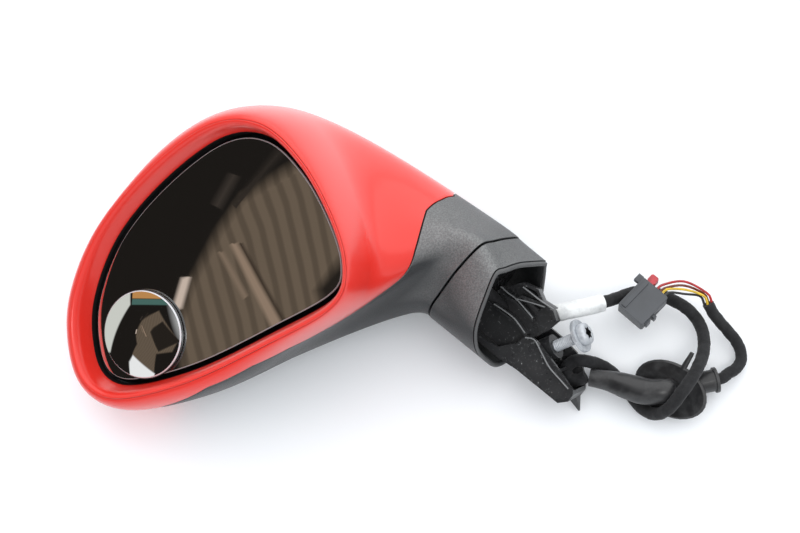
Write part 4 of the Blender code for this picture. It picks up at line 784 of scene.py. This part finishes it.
def small_mirror():
    """The stick-on convex mirror: a black wedge-shaped cup and a domed glass whose bevelled edge is painted a
    bright grey, a painted reflection.
    """
    x, z = SMALL_MIRROR_POINT
    radius, bevel = SMALL_MIRROR_RADIUS, SMALL_MIRROR_BEVEL
    lean_x, lean_z = SMALL_MIRROR_LEAN

    def leaning_ring(reach, height, share):
        ring = []
        for k in range(TURNED_STEPS):
            turn = math.tau * k / TURNED_STEPS
            across, up = reach * math.cos(turn), reach * math.sin(turn)
            stands = height + share * (lean_x * across + lean_z * up)
            ring.append((x + across, -stands, z + up))
        return ring

    low = PAD_THICKNESS / 2
    top = SMALL_MIRROR_HEIGHT - 0.0006
    seat = top - 0.0007
    wall = ((0.002, low, 0.0), (radius - 0.0010, low, 0.0), (radius - 0.0002, low + 0.0005, 0.1),
            (radius, top * 0.6, 0.6), (radius, top - 0.0002, 1.0), (radius - 0.0002, top, 1.0),
            (radius - 0.0004, top, 1.0), (radius - 0.0005, seat, 1.0), (0.002, seat, 1.0))
    new_piece("small_mirror_housing", [leaning_ring(*row) for row in wall], HOUSING_PLASTIC, "glass",
              "blind_spot_housing", slot="grained_black_plastic", closed_along=True)
    edge = radius - 0.0005 - PIECE_GAP / 3
    rings = [leaning_ring(edge, seat + PIECE_GAP / 3, 1.0), leaning_ring(edge, top, 1.0)]
    for share in np.linspace(1, 0.01, DOME_RINGS):
        reach = (edge - bevel) * share
        crown = SMALL_MIRROR_CROWN * (1 - (reach / radius)**2)
        rings.append(leaning_ring(reach, SMALL_MIRROR_HEIGHT + crown, 1.0))
    made = new_piece("small_mirror_glass", rings, MIRROR, "glass", "blind_spot_glass", slot="mirror_glass",
                     crease=20, capped=True)
    inner = edge - bevel * 0.99
    # The bevelled edge gets the bright grey: a painted reflection.
    second_finish(made, RIM_PAINTED_REFLECTION, lambda face, place: math.hypot(place.x - x, place.z - z) >= inner)


rear_cover()
neck_shell()
seam_strip()
bezel()
mirror_pane()
small_mirror()


# -------------------- the foot
def foot_sleeve():
    rings = []
    down = np.linspace(0, 1, SLEEVE_RINGS)
    for inset, shares in ((0.0, down), (SLEEVE_WALL, down[::-1])):
        top = neck_point(outward_offset(neck_outline, -inset), SEAM * 2.4)
        end = mouth_ring(outward_offset(mouth_outline, -inset))
        rings += [top + (end - top) * share for share in shares]
    new_piece("foot_cover", rings, BLACK_PLASTIC, "foot", "foot_sleeve", slot="grained_black_plastic",
              closed_along=True)


def mouth_seal():
    rings = []
    middle = outward_offset(mouth_outline, -(SEAL_WIDTH + 0.0003) / 2)
    for k in range(SEAL_SIDES):
        turn = math.tau * k / SEAL_SIDES
        outline = outward_offset(middle, math.cos(turn) * SEAL_WIDTH / 2)
        rings.append(mouth_ring(outline, PIECE_GAP + SEAL_HEIGHT / 2 * (1 + math.sin(turn))))
    new_piece("mouth_seal", rings, SEAL_RUBBER, "foot", "sleeve_edge_seal", slot="grey_seal_rubber",
              closed_along=True)


mouth_outline = at_angles(closed_spline(MOUTH_OUTLINE), neck_angles)
foot_sleeve()
mouth_seal()


def softened(node, name, finish, body, width, edge_finish=None):
    """A copy of a solid with its edges rounded, and the rounded edges in another finish where one is given.
    """
    mesh = frame["nodes"][node].data.copy()
    made = new_object(name, mesh)
    mesh.materials.clear()
    mesh.materials.append(finish)
    shape = bmesh.new()
    shape.from_mesh(mesh)
    bmesh.ops.remove_doubles(shape, verts=shape.verts, dist=0.00002)
    bmesh.ops.dissolve_limit(shape, angle_limit=math.radians(2), verts=shape.verts, edges=shape.edges)
    shape.to_mesh(mesh)
    shape.free()
    soften = soft_edges(made, width, angle=35)
    soften.harden_normals = True
    if edge_finish:
        mesh.materials.append(edge_finish)
        soften.material = 1
    mesh.shade_smooth()
    mesh.set_sharp_from_angle(angle=math.radians(35))
    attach(made, body)
    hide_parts(node)
    return made


softened("mounting_bracket", "foot_bracket", BRACKET_PLASTIC, "foot",
         width=0.0004, edge_finish=PALE_EDGE)
plug = softened("connector_body", "plug_body", CONNECTOR_PLASTIC, "foot", width=0.0003)
grommet = softened("grommet", "cable_grommet", RUBBER, "foot", width=0.0004)


def bolt_rings(profile, lobed_from):
    """Rings of (radius, height) round the bolt's axis, six-lobed from one of them on."""
    upright = Vector(BOLT_AXIS).normalized().to_track_quat("Z", "Y").to_matrix()
    rings = []
    for number, (radius, height) in enumerate(profile):
        ring = []
        for k in range(TURNED_STEPS):
            turn = math.tau * k / TURNED_STEPS
            lobe = SOCKET_LOBE_DEPTH * math.cos(SOCKET_LOBES * turn) if number >= lobed_from else 0.0
            reach = radius * (1 + lobe)
            local = Vector((reach * math.cos(turn), reach * math.sin(turn), height))
            ring.append(tuple(Vector(BOLT_POINT) + upright @ local))
        rings.append(ring)
    return rings


def flanged_bolt():
    """The mounting bolt with its thread and its six-lobed socket, painted near black inside: painted shade.
    """
    head_at = BOLT_OUTSIDE + WASHER_THICKNESS
    top = head_at + BOLT_HEAD_HEIGHT
    shank = [(0.001, -BOLT_INSIDE), (BOLT_RADIUS - 0.001, -BOLT_INSIDE)]
    turns = round((BOLT_INSIDE + BOLT_OUTSIDE - 0.004) / THREAD_PITCH)
    for k in range(turns):
        start = -BOLT_INSIDE + 0.001 + k * THREAD_PITCH
        shank += [(BOLT_RADIUS - THREAD_DEPTH, start), (BOLT_RADIUS, start + THREAD_PITCH / 2)]
    head = [(BOLT_RADIUS, head_at), (BOLT_HEAD_RADIUS - 0.0003, head_at),
            (BOLT_HEAD_RADIUS, head_at + 0.0004), (BOLT_HEAD_RADIUS, top - 0.0020),
            (BOLT_HEAD_RADIUS - 0.0005, top - 0.0008), (BOLT_HEAD_RADIUS - 0.0016, top - 0.0001),
            (BOLT_HEAD_RADIUS - 0.0020, top)]
    socket = [(BOLT_SOCKET_RADIUS * 1.10, top), (BOLT_SOCKET_RADIUS * 1.02, top - 0.0003),
              (BOLT_SOCKET_RADIUS, top - 0.0030), (0.0004, top - 0.0032)]
    rings = bolt_rings(shank + head + socket, len(shank + head))
    made = new_piece("flanged_bolt", rings, ZINC, "foot", "mounting_bolt", slot="zinc_plated_steel",
                     crease=35, capped=True)
    axis = Vector(BOLT_AXIS).normalized()

    def in_socket(_, place):
        arm = place - Vector(BOLT_POINT)
        height = arm.dot(axis)
        near = (arm - axis * height).length < BOLT_SOCKET_RADIUS * 1.25
        return near and top - 0.0040 < height < top - 0.00035

    # The inside of the socket is painted near black: painted shade in the recess.
    second_finish(made, PAINTED_SHADE_BLACK, in_socket)


flanged_bolt()


def bracket_ribs():
    """Thin ribs that stand on the bracket, with paler crests."""
    for number, (top, base, line) in enumerate(BRACKET_RIBS, 1):
        path = open_spline([(x, 0.0, z) for x, z in line], spacing=0.0012)
        run = np.gradient(path, axis=0)
        side = unit_rows(np.stack([run[:, 2], 0 * run[:, 0], -run[:, 0]], axis=1))
        rings = []
        for point, across in zip(path, side):
            section = ((-RIB_WIDTH / 2, base), (RIB_WIDTH / 2, base), (RIB_WIDTH / 2, top + RIB_CREST),
                       (RIB_CREST / 2, top), (-RIB_CREST / 2, top), (-RIB_WIDTH / 2, top + RIB_CREST))
            rings.append([point + across * reach + np.array((0.0, depth, 0.0)) for reach, depth in section])
        made = new_piece(f"bracket_rib_{number}", rings, BRACKET_PLASTIC, "foot", slot="filled_black_plastic",
                         capped=True)
        crest = top + RIB_CREST
        second_finish(made, PALE_EDGE, lambda _, place, crest=crest: place.y < crest)


bracket_ribs()
NODE_FINISHES = {
    "inner_frame": INNER_PLASTIC, "fold_motor": INNER_PLASTIC, "glass_backing_plate": INNER_PLASTIC,
    "heater_pad": INNER_PLASTIC, "actuator_case": NATURAL_PLASTIC, "actuator_cover": NATURAL_PLASTIC,
    "tilt_ball": NATURAL_PLASTIC, "vertical_plunger": NATURAL_PLASTIC,
    "horizontal_plunger": NATURAL_PLASTIC, "pivot_post": ZINC, "spring_retainer": STEEL,
    "detent_spring": STEEL, "bolt_washer": ZINC, "blind_spot_pad": FOAM,
    "connector_latch": CONNECTOR_PLASTIC, "connector_lock": LOCK_PLASTIC, **WIRES,
}
for node, finish in NODE_FINISHES.items():
    mesh = frame["nodes"][node].data
    mesh.materials.clear()
    mesh.materials.append(finish)

# -------------------- stage
FLOOR_SIZE = 6.0


def floor():
    bpy.ops.mesh.primitive_plane_add(size=1.0)
    made = bpy.context.object
    made.name = "floor"
    made.scale = (FLOOR_SIZE, FLOOR_SIZE, 1.0)
    made.data.materials.append(node_material("pale_floor", (0.95, 0.95, 0.95), 0.45, Specular_IOR_Level=0.4))


floor()


# -------------------- surroundings
# Soft-edged cards that only reflections show. Their outlines are places on the glass (x, z) where
# the camera sees them mirrored, or beyond it where only the domed mirror does.
CARD_DISTANCE = 1.0
SMALL_MIRROR_TURN = 22
glass_middle = mirror_place.translation
camera_behind_glass = eye - 2 * (eye - glass_middle).dot(glass_facing) * glass_facing
glass_view = (glass_middle - camera_behind_glass).normalized()


def seen_in_glass(x, z, distance):
    """Where the reflected sight line of a place on the glass meets a plane this far away."""
    sight = mirror_place @ Vector((x, 0, z)) - camera_behind_glass
    plane_at = (glass_middle - camera_behind_glass).length + distance
    return camera_behind_glass + sight * (plane_at / sight.dot(glass_view))


def seen_in_small_mirror(*places):
    """Places in the domed mirror, in its own radii, as the places on the flat glass that show the same."""
    turn = math.radians(SMALL_MIRROR_TURN)
    fall = 2 * SMALL_MIRROR_CROWN / SMALL_MIRROR_RADIUS**2
    x, z = SMALL_MIRROR_POINT
    start = to_mirror @ camera_behind_glass
    found = []
    for u, v in places:
        across = SMALL_MIRROR_RADIUS * (u * math.cos(turn) + v * math.sin(turn))
        up = SMALL_MIRROR_RADIUS * (v * math.cos(turn) - u * math.sin(turn))
        place = mirror_place @ Vector((x + across, -dome_height(across, up), z + up))
        facing = Vector((fall * across - SMALL_MIRROR_LEAN[0], -1, fall * up - SMALL_MIRROR_LEAN[1]))
        sight = (place - eye).normalized()
        bounce = sight.reflect((mirror_place.to_3x3() @ facing).normalized())
        reach = (CARD_DISTANCE - (place - glass_middle).dot(glass_view)) / bounce.dot(glass_view)
        end = to_mirror @ (place + bounce * reach)
        on_glass = start + (end - start) * (start.y / (start.y - end.y))
        found.append((on_glass.x, on_glass.z))
    return found


def card_finish(name, colour, stripes):
    """A glow that fades out with the attribute "cover". Stripes are (pitch, tilt in degrees, depth)."""
    made = bpy.data.materials.new(name)
    made.use_nodes = True
    nodes, links = graph(made)
    nodes.clear()
    glow = nodes.new("ShaderNodeEmission")
    glow.inputs["Color"].default_value = (*colour, 1.0)
    if stripes:
        pitch, tilt, depth = stripes
        place = nodes.new("ShaderNodeUVMap")
        turn = nodes.new("ShaderNodeMapping")
        turn.inputs["Rotation"].default_value = (0, 0, math.radians(tilt))
        wave = nodes.new("ShaderNodeTexWave")
        # A band of the wave is tau / (20 * scale) wide.
        wave.inputs["Scale"].default_value = math.tau / (20 * pitch)
        wave.inputs["Distortion"].default_value = 0.6
        wave.inputs["Detail"].default_value = 1.0
        links.new(place.outputs["UV"], turn.inputs["Vector"])
        links.new(turn.outputs["Vector"], wave.inputs["Vector"])
        bands = ramp_node(made, wave.outputs["Fac"], (0.15, dimmed(colour, 1 - depth)), (0.65, colour))
        links.new(bands, glow.inputs["Color"])
    clear = nodes.new("ShaderNodeBsdfTransparent")
    cover = nodes.new("ShaderNodeAttribute")
    cover.attribute_name = "cover"
    mix = nodes.new("ShaderNodeMixShader")
    links.new(cover.outputs["Fac"], mix.inputs["Fac"])
    links.new(clear.outputs["BSDF"], mix.inputs[1])
    links.new(glow.outputs["Emission"], mix.inputs[2])
    links.new(mix.outputs["Shader"], nodes.new("ShaderNodeOutputMaterial").inputs["Surface"])
    return made


def card(name, outline, colour, feather, distance=CARD_DISTANCE, stripes=None):
    outline = np.array(outline, float)
    loops = [outward_offset(outline, -feather / 2), outward_offset(outline, feather / 2)]
    count = len(outline)
    points = [seen_in_glass(x, z, distance) for loop in loops for x, z in loop]
    faces = [tuple(range(count))]
    faces += [(i, (i + 1) % count, count + (i + 1) % count, count + i) for i in range(count)]
    mesh = bpy.data.meshes.new(name)
    mesh.from_pydata(points, [], faces)
    cover = mesh.attributes.new("cover", "FLOAT", "POINT")
    cover.data.foreach_set("value", [1.0] * count + [0.0] * count)
    flat = np.concatenate(loops)
    places = mesh.uv_layers.new(name="UVMap")
    for loop in mesh.loops:
        places.data[loop.index].uv = flat[loop.vertex_index]
    mesh.materials.append(card_finish(name, colour, stripes))
    made = new_object(name, mesh)
    made.visible_camera = made.visible_diffuse = made.visible_shadow = made.visible_transmission = False


card("dark_roof", [(-0.50, -0.45), (0.30, -0.45), (0.30, 0.32), (-0.50, 0.32)],
     (0.013, 0.011, 0.0095), feather=0.30, distance=1.09)
card("ribbed_wall", [(-0.058, -0.070), (-0.046, -0.030), (-0.025, -0.006), (0.005, 0.016), (0.030, 0.030),
                     (0.080, 0.036), (0.145, 0.040)]
     + seen_in_small_mirror((0.95, -0.10), (0.80, -0.36), (0.42, -0.42), (0.33, -0.86), (-0.20, -0.47)),
     (0.150, 0.112, 0.080), feather=0.010, distance=1.06, stripes=(0.0105, 8, 0.30))
card("roof_beam_shadow", [(0.0165, 0.0035), (0.019, 0.003), (0.030, -0.058), (0.026, -0.058)],
     (0.045, 0.032, 0.023), feather=0.003, distance=1.03)
card("roof_beam", [(0.0105, 0.0055), (0.0155, 0.0045), (0.0265, -0.056), (0.0185, -0.056)],
     (0.30, 0.215, 0.155), feather=0.0035)
card("second_beam", [(0.0, 0.004), (0.004, 0.003), (0.010, -0.030), (0.006, -0.031)],
     (0.22, 0.16, 0.115), feather=0.003)
card("wall_foot", [(0.058, -0.044), (0.085, -0.030), (0.150, -0.020), (0.210, -0.150), (0.060, -0.150)],
     (0.020, 0.016, 0.013), feather=0.010, distance=1.02)
card("lamp", [(-0.0325, -0.002), (-0.0255, -0.0035), (-0.0395, -0.020), (-0.0475, -0.019)],
     (0.62, 0.50, 0.42), feather=0.0035)
card("far_beam", [(0.027, 0.047), (0.033, 0.044), (0.013, 0.030), (0.008, 0.034)],
     (0.045, 0.036, 0.030), feather=0.006)
card("far_rafter", [(0.022, 0.028), (0.030, 0.0295), (0.074, 0.047), (0.070, 0.051)],
     (0.030, 0.024, 0.020), feather=0.006)
card("white_wall", seen_in_small_mirror((-0.31, 1.3), (-0.26, 0.66), (-0.49, 0.30), (-0.66, -0.04),
                                        (-0.80, -0.42), (-1.15, -0.55), (-1.15, 0.6), (-0.6, 1.15)),
     (0.66, 0.67, 0.62), feather=0.012)
card("crates", seen_in_small_mirror((-0.24, 1.1), (0.6, 1.1), (0.80, 0.80), (-0.22, 0.80)),
     (0.55, 0.27, 0.09), feather=0.006)
card("crate_shelf", seen_in_small_mirror((-0.22, 0.79), (0.82, 0.79), (0.90, 0.67), (-0.22, 0.66)),
     (0.07, 0.15, 0.13), feather=0.006)
card("bright_floor", seen_in_small_mirror((-0.18, -0.46), (0.33, -0.86), (0.22, -1.04), (-0.30, -1.04),
                                          (-0.29, -0.62)),
     (0.90, 0.90, 0.90), feather=0.012)


# -------------------- light
def area_light(name, size, strength, place):
    """A white lamp that faces the origin."""
    made = new_object(name, bpy.data.lights.new(name, "AREA"))
    made.data.shape = "RECTANGLE"
    made.data.size, made.data.size_y = size
    made.data.energy = strength
    made.location = place
    made.rotation_euler = (-Vector(place)).to_track_quat("-Z", "Y").to_euler()


area_light("key", (4.0, 3.2), 40, (0.6, 0.9, 1.3))
area_light("fill", (1.4, 1.4), 5.5, (-1.1, -0.5, 1.2))
area_light("front", (0.5, 0.35), 3.5, (0.30, -0.75, 1.25))


def studio_world():
    """A pale sky, which the camera, gloss and glass see as white."""
    world = bpy.data.worlds.new("studio")
    scene.world = world
    world.use_nodes = True
    nodes, links = graph(world)
    path_kind = nodes.new("ShaderNodeLightPath")
    blend = nodes.new("ShaderNodeMixRGB")
    blend.inputs["Color1"].default_value = (0.66, 0.71, 0.77, 1.0)
    blend.inputs["Color2"].default_value = (1.0, 1.0, 1.0, 1.0)
    shown = path_kind.outputs["Is Camera Ray"]
    for kind in ("Is Glossy Ray", "Is Transmission Ray"):
        either = nodes.new("ShaderNodeMath")
        either.operation = "MAXIMUM"
        links.new(shown, either.inputs[0])
        links.new(path_kind.outputs[kind], either.inputs[1])
        shown = either.outputs["Value"]
    links.new(shown, blend.inputs["Fac"])
    links.new(blend.outputs["Color"], nodes["Background"].inputs["Color"])


studio_world()
scene.view_settings.view_transform = "Standard"

bpy.context.view_layer.update()
